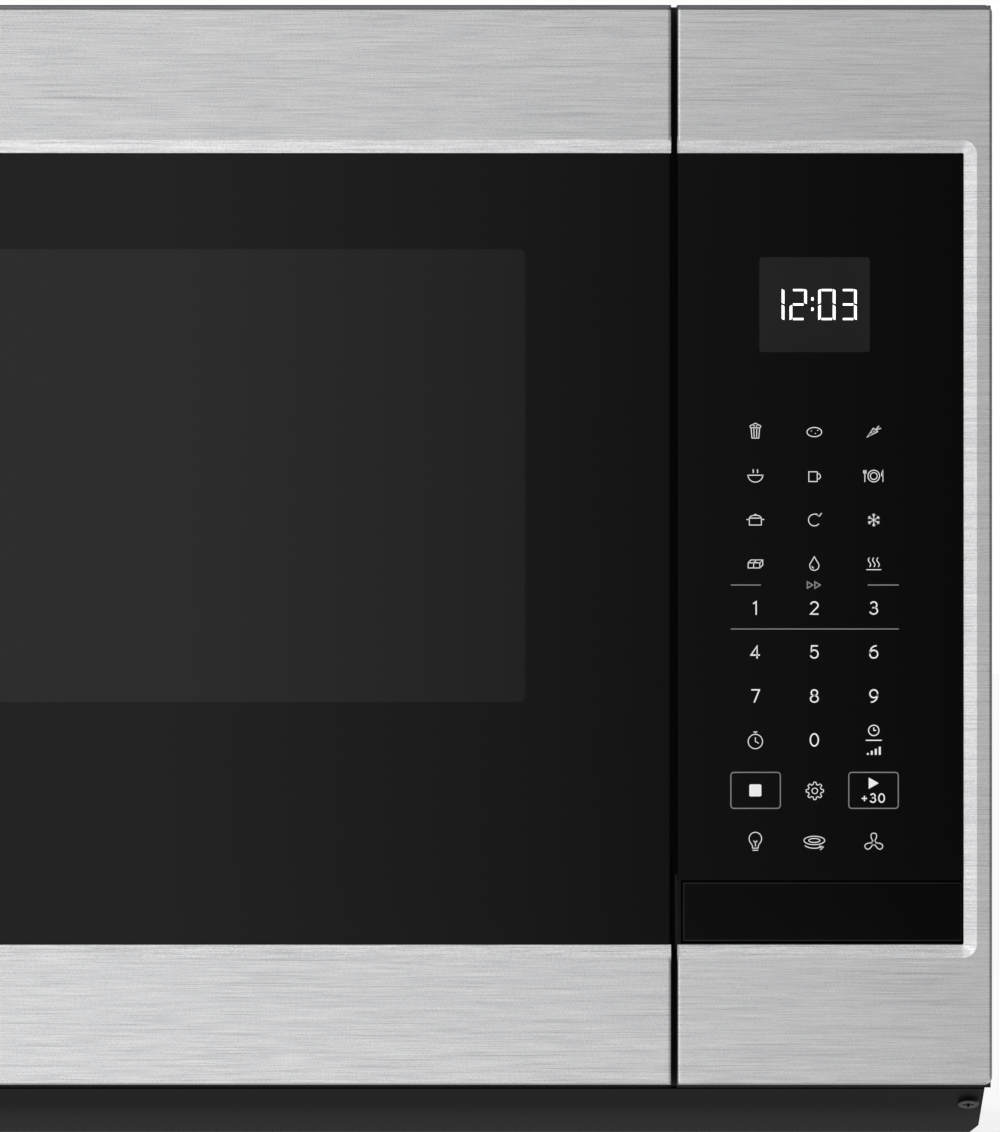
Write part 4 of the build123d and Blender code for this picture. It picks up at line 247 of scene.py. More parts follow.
class GeometryTree(Nodes):
    # a geometry tree with named inputs: sizes is a list of (name, socket kind, value)
    def __init__(self, name, sizes):
        super().__init__(bpy.data.node_groups.new(name, "GeometryNodeTree"))
        interface = self.tree.interface
        self.ids = {}
        for label, kind, value in sizes + [("Finish", "NodeSocketMaterial", None)]:
            socket = interface.new_socket(label, in_out="INPUT", socket_type=kind)
            if value is not None:
                socket.default_value = value
            self.ids[label] = socket.identifier
        interface.new_socket("Geometry", in_out="OUTPUT", socket_type="NodeSocketGeometry")
        self.start = self.node("NodeGroupInput")

    def size(self, label):
        return Value(self, self.start.outputs[label])

    def join(self, *meshes):
        made = self.node("GeometryNodeJoinGeometry")
        for mesh in meshes:
            self.tree.links.new(mesh.outputs[0], made.inputs[0])
        return made

    def scatter(self, points, piece):
        return self.node("GeometryNodeInstanceOnPoints", {}, {"Points": points, "Instance": piece})

    def row(self, count, first, step):
        values = {"Count": count, "Start Location": first, "Offset": step}
        return self.node("GeometryNodeMeshLine", {"mode": "OFFSET"}, values)

    def move(self, geometry, place, turn=None):
        values = {"Geometry": geometry, "Translation": place}
        if turn is not None:
            values["Rotation"] = self.node("FunctionNodeEulerToRotation", {}, {0: turn})
        return self.node("GeometryNodeTransform", {}, values)

    def close(self, geometry):
        real = self.node("GeometryNodeRealizeInstances", {}, {0: geometry})
        values = {"Geometry": real, "Material": self.start.outputs["Finish"]}
        self.node("NodeGroupOutput", {}, {0: self.node("GeometryNodeSetMaterial", {}, values)})

    def grow(self, name, body, finish, sizes=None):
        # the tree's result as a plain mesh that rides on one body
        piece = addObject(name, bpy.data.meshes.new(name))
        modifier = piece.modifiers.new("grow", "NODES")
        modifier.node_group = self.tree
        for label, value in {**(sizes or {}), "Finish": finish}.items():
            modifier[self.ids[label]] = value
        graph = bpy.context.evaluated_depsgraph_get()
        mesh = bpy.data.meshes.new_from_object(piece.evaluated_get(graph))
        piece.modifiers.clear()
        piece.data = mesh
        mesh.name = name
        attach(piece, body)
        return piece


def addPiece(name, mesh, finish, body):
    # a finished mesh as a piece that rides on one body
    piece = addObject(name, mesh)
    mesh.materials.append(finish)
    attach(piece, body)
    return piece


# the finishes, each made once and shared by the pieces that have it
steel = {
    "bright": paint(254, 254, 255),
    "dull": paint(203, 204, 206),
    "scratch": paint(130, 132, 135),
    "paintedRimShade": paint(88, 89, 91),  # painted shade: the folded rims, which turn away from the light, are coloured darker than the flat sheet
    "paintedRimShadeWidth": (0.0011, 0.0021),  # at the side and at the top
    "paintedRimShadeShare": (0.7, 0.86),  # how dark there
    "paintedRimShadeFade": 0.0004,
    "frontFade": 0.001,
    # painted shade: a near-black line along the very top edge of the steel
    "topEdgeShade": paint(16, 16, 17),
    "topEdgeShadeWidth": 0.0006,
    "bottomRimShade": (0.0004, 0.0012, 0.62),  # painted shade along the bottom edge: from, to and how dark
    # painted shade along the edge at the seam: from, to and how dark
    "seamRimShade": (0.0003, 0.0009, 0.42),
    "level": (0.8, 0.9),  # how far a fold faces up or down
    "grain": (30.0, 30.0, 2300.0),  # cycles for one metre along X, Y and up
    "hair": (75.0, 75.0, 3600.0),
    "band": (7.0, 7.0, 330.0),
    "spark": (1300.0, 1300.0, 2600.0),
    "streak": (16.0, 16.0, 1700.0),
    "shares": (0.30, 0.28, 0.10, 0.32),  # of grain, hair, band and spark
    "toneRange": (0.36, 0.62),
    "streakRange": (0.60, 0.74),
    "streakShare": 0.36,
    "roughness": 0.36,
    "dullRougher": 0.12,
    "depth": 0.000012,
}


def makeSteel():
    finish = Finish("brushedSteel")
    x, y, z = finish.axes()
    level = finish.facing()[2].absolute().step(*steel["level"])  # such folds are brushed along X too
    finish.place = finish.vector(x, y, z + (y - z) * level)
    fine = finish.noise(steel["grain"])
    hair = finish.noise(steel["hair"], 1.0)
    band = finish.noise(steel["band"])
    spark = finish.noise(steel["spark"], 1.0)
    streak = finish.noise(steel["streak"], 1.0).step(*steel["streakRange"])
    fineShare, hairShare, bandShare, sparkShare = steel["shares"]
    tone = fine * fineShare + hair * hairShare + band * bandShare + spark * sparkShare
    tone = tone.step(*steel["toneRange"])
    color = finish.mix(tone, steel["dull"], steel["bright"])
    color = finish.mix(streak * steel["streakShare"], color, steel["scratch"])
    # painted shade: the sheet is coloured darker along its bottom and seam edges, and near the front along
    # its side and top rims
    lowCorner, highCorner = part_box("panel_skin")
    sideRim, topRim = steel["paintedRimShadeWidth"]
    sideShare, topShare = steel["paintedRimShadeShare"]
    side = x.absolute().step(highCorner.x - sideRim, highCorner.x - sideRim / 2)
    upper = z.step(highCorner.z - topRim, highCorner.z - topRim + steel["paintedRimShadeFade"])
    topEdgeShade = z.step(highCorner.z - steel["topEdgeShadeWidth"], highCorner.z - steel["topEdgeShadeWidth"] / 2)
    front = 1 - y.step(lowCorner.y + topRim, lowCorner.y + topRim + steel["frontFade"])
    for distance, edge in ((z - lowCorner.z, "bottomRimShade"), ((x - lowCorner.x).absolute(), "seamRimShade")):
        rimFrom, rimTo, rimShadeAmount = steel[edge]
        color = finish.mix((1 - distance.step(rimFrom, rimTo)) * rimShadeAmount, color, steel["paintedRimShade"])
    rimShade = finish.math("MAXIMUM", side * sideShare, upper * topShare)
    color = finish.mix(rimShade * front, color, steel["paintedRimShade"])
    # painted shade: the top edge near the front turns near black
    color = finish.mix(topEdgeShade * front, color, steel["topEdgeShade"])
    return finish.surface({
        "Base Color": color,
        "Metallic": 1.0,
        "Roughness": steel["roughness"] + (1 - tone) * steel["dullRougher"],
        "Normal": finish.bump(fine, steel["depth"]),
    })


glass = {
    "ink": paint(5, 5, 6),
    "windowInk": paint(13, 13, 14),
    "window": ((-0.3234, 0.2004), (0.1675, 0.3411)),  # X and Z limits
    "windowCorner": 0.0023,
    "windowEdge": 0.0002,
    "windowCoat": 0.5,
    "coatRoughness": 0.03,
    "smudge": 9.0,  # cycles for one metre
    "smudgeRange": (0.35, 0.8),
    "smudgeRougher": 0.03,
}


def makeGlass(name, withWindow, roughness=0.035, bending=1.5):
    finish = Finish(name)
    smudge = finish.noise(glass["smudge"], 3.0, 0.6).step(*glass["smudgeRange"])
    color = glass["ink"]
    coat = 0.0
    if withWindow:
        x, y, z = finish.axes()
        (left, right), (low, high) = glass["window"]
        corner = glass["windowCorner"]
        outX = finish.math("MAXIMUM", (x - (left + right) / 2).absolute() - (right - left) / 2 + corner, 0.0)
        outZ = finish.math("MAXIMUM", (z - (low + high) / 2).absolute() - (high - low) / 2 + corner, 0.0)
        edge = finish.math("SQRT", outX * outX + outZ * outZ)
        inside = 1 - edge.step(corner - glass["windowEdge"], corner + glass["windowEdge"])
        color = finish.mix(inside, glass["ink"], glass["windowInk"])
        coat = inside * glass["windowCoat"]
    return finish.surface({
        "Base Color": color,
        "Roughness": roughness + smudge * glass["smudgeRougher"],
        "Coat Weight": coat,
        "Coat Roughness": glass["coatRoughness"],
        "IOR": bending,
    })


plasticLook = {
    "cloud": 22.0,  # cycles for one metre of the slow change of tone
    "cloudRange": (0.35, 0.7),
    "cloudShare": 0.5,
    "paler": (1.35, 0.002),  # the lighter tone: times the colour, and added to it
    "swing": 0.18,  # of the roughness
}


def makePlastic(name, color, roughness, texture, depth=0.00003, gloss=0.5):
    # moulded plastic: a fine texture and a slow change of tone
    finish = Finish(name)
    spark = finish.noise(texture, 2.0, 0.6)
    cloud = finish.noise(plasticLook["cloud"]).step(*plasticLook["cloudRange"])
    times, added = plasticLook["paler"]
    lighter = tuple(min(1.0, c * times + added) for c in color[:3]) + (1.0,)
    return finish.surface({
        "Base Color": finish.mix(cloud * plasticLook["cloudShare"], color, lighter),
        "Roughness": roughness + (spark - 0.5) * plasticLook["swing"],
        "Specular IOR Level": gloss,
        "Normal": finish.bump(spark, depth),
    })


bezel = {
    "polishedTo": -0.1925,  # Y of the part that stands level with the glass
    "color": grey(14),
    "texture": 1900.0,
    "roughness": 0.5,
    "polish": 0.42,
    "depth": 0.00003,
}


def makeBezel():
    # moulded frame: polished where it stands level with the glass, fine texture elsewhere
    finish = Finish("bezelPlastic")
    front = finish.axes()[1] < bezel["polishedTo"]
    spark = finish.noise(bezel["texture"], 2.0, 0.6)
    rough = bezel["roughness"] + (spark - 0.5) * plasticLook["swing"]
    return finish.surface({
        "Base Color": finish.mix(front, bezel["color"], glass["ink"]),
        "Roughness": rough - front * bezel["polish"],
        "Normal": finish.bump(spark * (1 - front), bezel["depth"]),
    })


powderLook = {
    "peel": 620.0,  # cycles for one metre of the orange peel
    "fleck": (1500.0, (0.05, 0.3), 0.5),  # cycles, edge and share
    "cloud": (6.0, (0.3, 0.75), 0.35),
    "swing": 0.2,
    "depth": 0.00006,
    # painted shadow: the near-black colour of the band under the steel
    "gap": paint(1, 1, 1),
    "lacquer": (0.5, 1.2),  # weight and IOR of the gloss below the painted shadow band
}


def makeCoat(name, color, fleck, roughness=0.42, gloss=0.5, shade=None):
    # powder coat: orange peel and fine flecks, and a painted shadow band, near black and without gloss,
    # above the heights given as shade
    finish = Finish(name)
    peel = finish.noise(powderLook["peel"])
    cycles, edge, share = powderLook["cloud"]
    base = finish.mix(finish.noise(cycles).step(*edge) * share, color, fleck)
    cycles, edge, share = powderLook["fleck"]
    base = finish.mix((1 - finish.cells(cycles).step(*edge)) * share, base, fleck)
    values = {
        "Roughness": roughness + (peel - 0.5) * powderLook["swing"],
        "Specular IOR Level": gloss,
        "Normal": finish.bump(peel, powderLook["depth"]),
    }
    # painted shadow: above the heights in shade the coat turns near black and loses its gloss
    if shade:
        lit = 1 - finish.axes()[2].step(*shade)
        base = finish.mix(lit, powderLook["gap"], base)
        weight, bending = powderLook["lacquer"]
        values |= {"Coat Weight": lit * weight, "Coat Roughness": roughness, "Coat IOR": bending}
    return finish.surface({"Base Color": base} | values)


enamelLook = {
    "tones": (paint(194, 195, 192), paint(198, 199, 196)),
    "wave": 28.0,  # cycles for one metre
    "waveRange": (0.3, 0.7),
    "specks": (  # cycles, edge, share and colour of the dark and of the pale ones
        (650.0, (0.10, 0.22), 0.55, paint(112, 113, 112)),
        ((480.0, 480.0, 481.0), (0.08, 0.2), 0.5, paint(228, 228, 225)),
    ),
    "roughness": (0.24, 0.04),  # least, and what the wave adds
    "depth": 0.00012,
}


def makeEnamel():
    finish = Finish("speckledEnamel")
    wave = finish.noise(enamelLook["wave"])
    base = finish.mix(wave.step(*enamelLook["waveRange"]), *enamelLook["tones"])
    for cycles, edge, share, color in enamelLook["specks"]:
        base = finish.mix((1 - finish.cells(cycles).step(*edge)) * share, base, color)
    least, added = enamelLook["roughness"]
    return finish.surface({
        "Base Color": base,
        "Roughness": least + wave * added,
        "Normal": finish.bump(wave, enamelLook["depth"]),
    })


zincLook = {
    "edge": (0.0, 0.12),  # of a flake
    "shares": (0.8, 0.2),  # of the flake's own tone and of its edge
    "scratch": (900.0, 40.0, 900.0),
    "metallic": 0.9,
    "added": (0.15, 0.1),  # to the roughness, by the flakes and by the scratches
    "depth": 0.00001,
}


def makeZinc(name, pale, dark, cell, roughness=0.38):
    # galvanised sheet: angular flakes of two tones
    finish = Finish(name)
    edge = 1 - finish.cells(cell, "Distance", "DISTANCE_TO_EDGE").step(*zincLook["edge"])
    split = finish.node("ShaderNodeSeparateColor", {}, {0: finish.cells(cell, "Color")})
    shade = Value(finish, split.outputs[0])
    scratch = finish.noise(zincLook["scratch"])
    flakeShare, edgeShare = zincLook["shares"]
    byFlake, byScratch = zincLook["added"]
    return finish.surface({
        "Base Color": finish.mix(shade * flakeShare + edge * edgeShare, dark, pale),
        "Metallic": zincLook["metallic"],
        "Roughness": roughness + shade * byFlake + (scratch - 0.5) * byScratch,
        "Normal": finish.bump(scratch, zincLook["depth"]),
    })


metalLook = {
    "darker": 0.72,  # the dark marks' share of the colour
    "markRange": (0.3, 0.7),
    "swing": 0.16,
    "depth": 0.00001,
}


def makeMetal(name, color, roughness, cycles):
    # plain metal with drawn or turned marks along one direction
    finish = Finish(name)
    mark = finish.noise(cycles, 3.0, 0.55)
    darker = tuple(c * metalLook["darker"] for c in color[:3]) + (1.0,)
    return finish.surface({
        "Base Color": finish.mix(mark.step(*metalLook["markRange"]), darker, color),
        "Metallic": 1.0,
        "Roughness": roughness + (mark - 0.5) * metalLook["swing"],
        "Normal": finish.bump(mark, metalLook["depth"]),
    })


boardLook = {
    "mask": paint(24, 74, 40),
    "track": (210.0, (0.03, 0.07), paint(64, 118, 70)),  # cycles for one metre, edge and colour
    "pad": (300.0, (0.12, 0.2), paint(190, 176, 120)),
    "roughness": (0.35, 0.1),
    "depth": 0.00005,
}


def makeBoard():
    # printed board: green mask with tracks and bare pads
    finish = Finish("printedBoard")
    cycles, edge, color = boardLook["track"]
    track = finish.cells(cycles, "Distance", "DISTANCE_TO_EDGE").step(*edge)
    base = finish.mix(track, color, boardLook["mask"])
    cycles, edge, color = boardLook["pad"]
    base = finish.mix(1 - finish.cells(cycles).step(*edge), base, color)
    least, added = boardLook["roughness"]
    return finish.surface({
        "Base Color": base,
        "Roughness": least + track * added,
        "Normal": finish.bump(track, boardLook["depth"]),
    })


ironLook = {
    "leaf": 0.0011,  # thickness of a sheet
    "leafRange": (-0.6, 0.6),
    "tones": (paint(58, 58, 60), paint(120, 120, 122)),
    "rust": (60.0, (0.55, 0.8), 0.35, paint(96, 66, 44)),  # cycles, range, share and colour
    "metallic": 0.8,
    "roughness": (0.45, 0.2),
    "depth": 0.00008,
}


def makeLaminated():
    finish = Finish("laminatedIron")
    leaf = (finish.axes()[1] * (2 * pi / ironLook["leaf"])).sine()
    base = finish.mix(leaf.step(*ironLook["leafRange"]), *ironLook["tones"])
    cycles, span, share, color = ironLook["rust"]
    rust = finish.noise(cycles, 3.0, 0.6).step(*span)
    least, added = ironLook["roughness"]
    return finish.surface({
        "Base Color": finish.mix(rust * share, base, color),
        "Metallic": ironLook["metallic"],
        "Roughness": least + rust * added,
        "Normal": finish.bump(leaf, ironLook["depth"]),
    })


copperLook = {
    "pitch": 0.0014,  # from turn to turn
    "turnRange": (-0.8, 0.4),
    "tones": (paint(92, 44, 22), paint(190, 104, 56)),
    "tint": ((40.0, 40.0, 300.0), (0.4, 0.8), 0.4, paint(214, 138, 84)),
    "metallic": 0.85,
    "roughness": (0.28, 0.15),
    "depth": 0.0003,
}


def makeWound():
    finish = Finish("woundCopper")
    winding = (finish.axes()[2] * (2 * pi / copperLook["pitch"])).sine()
    base = finish.mix(winding.step(*copperLook["turnRange"]), *copperLook["tones"])
    cycles, span, share, color = copperLook["tint"]
    tint = finish.noise(cycles)
    least, added = copperLook["roughness"]
    return finish.surface({
        "Base Color": finish.mix(tint.step(*span) * share, base, color),
        "Metallic": copperLook["metallic"],
        "Roughness": least + tint * added,
        "Normal": finish.bump(winding, copperLook["depth"]),
    })


micaLook = {
    "flake": (170.0, (0.1, 0.7)),
    "tones": (paint(196, 184, 160), paint(158, 146, 124)),
    "vein": (60.0, (0.5, 0.75), 0.5, paint(118, 104, 84)),
    "roughness": (0.3, 0.2),
    "sheen": 0.1,
    "depth": 0.00008,
}


def makeMica():
    finish = Finish("micaSheet")
    cycles, span = micaLook["flake"]
    flake = finish.cells(cycles).step(*span)
    base = finish.mix(flake, *micaLook["tones"])
    cycles, span, share, color = micaLook["vein"]
    vein = finish.noise(cycles, 4.0, 0.65)
    least, added = micaLook["roughness"]
    return finish.surface({
        "Base Color": finish.mix(vein.step(*span) * share, base, color),
        "Roughness": least + flake * added,
        "Sheen Weight": micaLook["sheen"],
        "Normal": finish.bump(vein, micaLook["depth"]),
    })


filmLook = {
    "wave": 14.0,
    "tones": (paint(205, 208, 208), paint(222, 224, 224)),
    "cover": (0.16, 0.06),  # least alpha, and what the wave adds
    "roughness": (0.08, 0.05),
    "depth": 0.0006,
}


def makeFilm():
    # clear film over the screen, slightly wavy
    finish = Finish("clearFilm")
    wave = finish.noise(filmLook["wave"])
    leastCover, addedCover = filmLook["cover"]
    least, added = filmLook["roughness"]
    return finish.surface({
        "Base Color": finish.mix(wave, *filmLook["tones"]),
        "Alpha": leastCover + wave * addedCover,
        "Roughness": least + wave * added,
        "Normal": finish.bump(wave, filmLook["depth"]),
    })


clearLook = {"pale": grey(246), "added": 0.05, "clearness": 0.92, "bending": 1.5, "depth": 0.00008}


def makeClear(name, tint, roughness, cycles):
    finish = Finish(name)
    wave = finish.noise(cycles)
    return finish.surface({
        "Base Color": finish.mix(wave, tint, clearLook["pale"]),
        "Roughness": roughness + wave * clearLook["added"],
        "Transmission Weight": clearLook["clearness"],
        "IOR": clearLook["bending"],
        "Normal": finish.bump(wave, clearLook["depth"]),
    })


charcoalLook = {
    "grain": (420.0, (0.1, 0.7)),
    "tones": (grey(52), grey(14)),
    "roughness": (0.75, 0.2),  # most, and what the grain takes off
    "depth": 0.0012,
}


def makeCharcoal():
    finish = Finish("charcoalCells")
    cycles, span = charcoalLook["grain"]
    grain = finish.cells(cycles).step(*span)
    most, taken = charcoalLook["roughness"]
    return finish.surface({
        "Base Color": finish.mix(grain, *charcoalLook["tones"]),
        "Roughness": most - grain * taken,
        "Normal": finish.bump(grain, charcoalLook["depth"]),
    })


lightLook = {"glow": 900.0, "paler": 0.1, "roughness": (0.3, 0.05)}


def makeLit(name, color, strength):
    finish = Finish(name)
    glow = finish.noise(lightLook["glow"], 1.0)
    least, added = lightLook["roughness"]
    return finish.surface({
        "Base Color": finish.mix(glow * lightLook["paler"], color, grey(255)),
        "Emission Color": color,
        "Emission Strength": strength,
        "Roughness": least + glow * added,
    })


brushed = makeSteel()
doorGlassFinish = makeGlass("doorGlassInk", True)
panelGlassFinish = makeGlass("panelGlassInk", False)
barFinish = makeGlass("glossBlackBar", False, 0.05, 1.38)
frameBlack = makePlastic("sparkBlackPlastic", grey(10), 0.5, 1900.0, 0.00003, 0.22)
bezelBlack = makeBezel()
coverGrey = makePlastic("coverGreyPlastic", grey(44), 0.4, 1500.0)
nylon = makePlastic("whiteNylon", paint(226, 224, 216), 0.38, 700.0)
greyNylon = makePlastic("greyNylon", paint(150, 152, 152), 0.4, 700.0)
rubber = makePlastic("softRubber", grey(24), 0.7, 1200.0, 0.00005, 0.3)
switchBody = makePlastic("switchPlastic", paint(148, 40, 34), 0.4, 900.0)
fanPlastic = makePlastic("fanPlastic", paint(206, 206, 200), 0.35, 500.0)
displayCase = makePlastic("displayCase", grey(16), 0.3, 900.0)
darkCoat = makeCoat("darkPowderCoat", paint(28, 28, 29), paint(42, 42, 43), 0.46, 0.22)
panShadowBand = [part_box("panel_skin")[0].z - below for below in (0.0030, 0.0026)]  # painted shadow: the near-black band on the pan just under the steel
panCoat = makeCoat("panPowderCoat", paint(30, 30, 31), paint(38, 38, 39), 0.5, 0.0, panShadowBand)
wheelCoat = makeCoat("wheelCoat", paint(96, 98, 100), paint(124, 126, 128), 0.35)
enamel = makeEnamel()
zinc = makeZinc("galvanisedSheet", paint(198, 201, 203), paint(172, 175, 178), 230.0)
motorZinc = makeZinc("motorCanSheet", paint(186, 188, 190), paint(132, 134, 137), 320.0, 0.3)
hingeSteel = makeMetal("hingeSteel", paint(186, 187, 189), 0.3, (400.0, 400.0, 60.0))
springWire = makeMetal("springWire", paint(190, 190, 190), 0.22, 900.0)
screwBlack = makeMetal("blackOxide", paint(44, 44, 46), 0.36, 900.0)
aluminium = makeMetal("rolledAluminium", paint(206, 208, 210), 0.34, (40.0, 900.0, 900.0))
wireAluminium = makeMetal("meshWire", paint(214, 216, 218), 0.3, 700.0)
board = makeBoard()
laminated = makeLaminated()
wound = makeWound()
mica = makeMica()
film = makeFilm()
trayGlass = makeClear("trayGlass", paint(232, 240, 237), 0.03, 60.0)
lensGlass = makeClear("frostedLens", paint(236, 238, 238), 0.32, 900.0)
charcoal = makeCharcoal()
# painted shade: the near-black of the screen's holes
holeBlack = makePlastic("holeBlack", grey(9), 0.6, 900.0, 0.00001, 0.2)
printWhite = makePlastic("printWhite", grey(246), 0.45, 2500.0, 0.000002)
printGrey = makePlastic("printGrey", grey(128), 0.45, 2500.0, 0.000002)
printBright = makePlastic("printBright", grey(246), 0.45, 2500.0, 0.000002)
# a thin black bead at the lips, its near-black also painted contact shadow
sealBlack = makePlastic("sealBlack", grey(2), 0.6, 900.0, 0.00001, 0.1)
displayPane = makePlastic("displayPane", grey(30), 0.06, 400.0, 0.000001)
segmentLight = makeLit("segmentLight", grey(255), 1.0)
print("finishes made")

dressing = {
    brushed: "door_skin panel_skin",
    doorGlassFinish: "door_glass",
    panelGlassFinish: "panel_glass",
    barFinish: "release_button",
    bezelBlack: "panel_frame",
    frameBlack: "door_frame vent_grille exhaust_frame fan_shroud",
    coverGrey: "choke_cover",
    nylon: "latch_hooks latch_body release_lever turntable_coupler roller_1 roller_2 roller_3",
    greyNylon: "roller_ring",
    rubber: "cord_grommet",
    switchBody: "interlock_switches",
    fanPlastic: "fan_blade",
    displayCase: "display_module",
    panCoat: "bottom_pan",
    darkCoat: "outer_wrap",
    wheelCoat: "blower_rotor",
    enamel: "door_choke front_frame cavity_liner",
    zinc: "base_plate back_panel wall_plate waveguide blower_housing hv_capacitor cavity_lamp"
          " damper_flap",
    motorZinc: "turntable_motor fan_motor blower_motor magnetron thermal_cutouts",
    hingeSteel: "door_hinge_plates hinge_washers hinge_brackets",
    springWire: "latch_spring button_spring",
    screwBlack: "case_screws",
    aluminium: "grease_filter_left grease_filter_right",
    board: "control_board noise_filter cooktop_lamps",
    laminated: "transformer_core",
    wound: "transformer_windings",
    mica: "waveguide_cover",
    film: "inner_window",
    trayGlass: "glass_tray",
    lensGlass: "lamp_lenses",
    charcoal: "charcoal_filter",
}
for finish, names in dressing.items():
    for name in names.split():
        piece = frame["nodes"][name]
        if not piece.material_slots:
            piece.data.materials.append(finish)
        for slot in piece.material_slots:
            slot.material = finish
print("nodes dressed")


# the print on the glass is drawn in pixels of the photograph's frame
face = {
    "glass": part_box("panel_glass")[0].y,  # front of both glasses
    "lift": 0.00004,
    "thick": 0.00003,
    "stroke": 0.76,  # in pixels
    "sharpest": 2.0,  # how far a stroke's corner may reach, in half strokes
    "nearest": 1e-9,  # points nearer than this count as one
}


def ribbon(points, width, closed=False):
    # flat stroke along a line in the face, as one polygon of four corners for each step
    count = len(points)
    left, right = [], []
    for index in range(count):
        before = points[index - 1] if closed or index else points[index]
        after = points[(index + 1) % count] if closed or index < count - 1 else points[index]
        here = points[index]
        way = []
        for start, end in ((before, here), (here, after)):
            length = hypot(end[0] - start[0], end[1] - start[1])
            if length > face["nearest"]:
                way.append(((end[0] - start[0]) / length, (end[1] - start[1]) / length))
        sideX = -sum(w[1] for w in way)
        sideY = sum(w[0] for w in way)
        norm = hypot(sideX, sideY) or 1.0
        miter = min(face["sharpest"], 2 / norm if len(way) == 2 else 1.0)
        offset = width / 2 * miter
        left.append((here[0] + sideX / norm * offset, here[1] + sideY / norm * offset))
        right.append((here[0] - sideX / norm * offset, here[1] - sideY / norm * offset))
    steps = range(count if closed else count - 1)
    return [(left[i], left[(i + 1) % count], right[(i + 1) % count], right[i]) for i in steps]


def arc(x, y, across, up, start, end, steps=16):
    turns = [radians(start + (end - start) * i / steps) for i in range(steps + 1)]
    return [(x + across * cos(t), y + up * sin(t)) for t in turns]


def ring(x, y, radius, steps=28):
    return arc(x, y, radius, radius, 0, 360 * (steps - 1) / steps, steps - 1)


def roundedBox(x0, y0, x1, y1, radius, steps=6):
    corners = ((x1 - radius, y1 - radius, 0), (x0 + radius, y1 - radius, 90),
               (x0 + radius, y0 + radius, 180), (x1 - radius, y0 + radius, 270))
    return [p for x, y, turn in corners for p in arc(x, y, radius, radius, turn, turn + 90, steps)]


def printPiece(name, polygons, finish, body, lift, depth=None):
    # polygons in pixels, made as thin solid print on the glass
    shape = bmesh.new()
    for corners in polygons:
        verts = [shape.verts.new((px(x), face["glass"] - lift, pz(y))) for x, y in corners]
        shape.faces.new(verts)
    bmesh.ops.recalc_face_normals(shape, faces=shape.faces)
    for flat in shape.faces:
        if flat.normal.y > 0:
            flat.normal_flip()
    raised = bmesh.ops.extrude_face_region(shape, geom=shape.faces[:])
    tops = [item for item in raised["geom"] if isinstance(item, bmesh.types.BMVert)]
    bmesh.ops.translate(shape, verts=tops, vec=(0, -(depth or face["thick"]), 0))
    bmesh.ops.recalc_face_normals(shape, faces=shape.faces)
    mesh = bpy.data.meshes.new(name)
    shape.to_mesh(mesh)
    shape.free()
    return addPiece(name, mesh, finish, body)


def stamp(center, strokes, closed=(), scale=1.0, width=None):
    # strokes drawn about the origin with y up, placed at a point in pixels
    width = width or face["stroke"]
    made = []
    for index, line in enumerate(strokes):
        made += ribbon([(x * scale, y * scale) for x, y in line], width, index in closed)
    return [[(center[0] + x, center[1] - y) for x, y in corners] for corners in made]


def blade(turn):
    # one fan blade: narrow at the hub, round and wide at its tip
    outline = [(1.2, 2.2), (2.9, 5.8)] + arc(0, 7.8, 3.0, 2.5, -20, 200, 12) + [(-2.9, 5.8), (-1.2, 2.2)]
    c, s = cos(radians(turn)), sin(radians(turn))
    return [(x * c - y * s, x * s + y * c) for x, y in outline]


def spoke(radius, turn):
    t = radians(turn)
    return [(0.0, 0.0), (radius * cos(t), radius * sin(t))]


flakeTip = {"at": 4.8, "length": 2.4, "angle": 50}


def barb(turn, side):
    # one side of the tip on a snowflake's arm
    t, out = radians(turn), radians(turn + flakeTip["angle"] * side)
    at, long = flakeTip["at"], flakeTip["length"]
    return [(at * cos(t) + long * cos(out), at * sin(t) + long * sin(out)), (at * cos(t), at * sin(t))]


cog = {"points": 96, "teeth": 8, "radius": 7.6, "height": 1.1, "steep": 2.2}
gear = []
for step in range(cog["points"]):
    turn = 2 * pi * step / cog["points"]
    reach = cog["radius"] + cog["height"] * max(-1.0, min(1.0, cog["steep"] * cos(cog["teeth"] * turn)))
    gear.append((reach * cos(turn), reach * sin(turn)))
sixth = range(30, 390, 60)

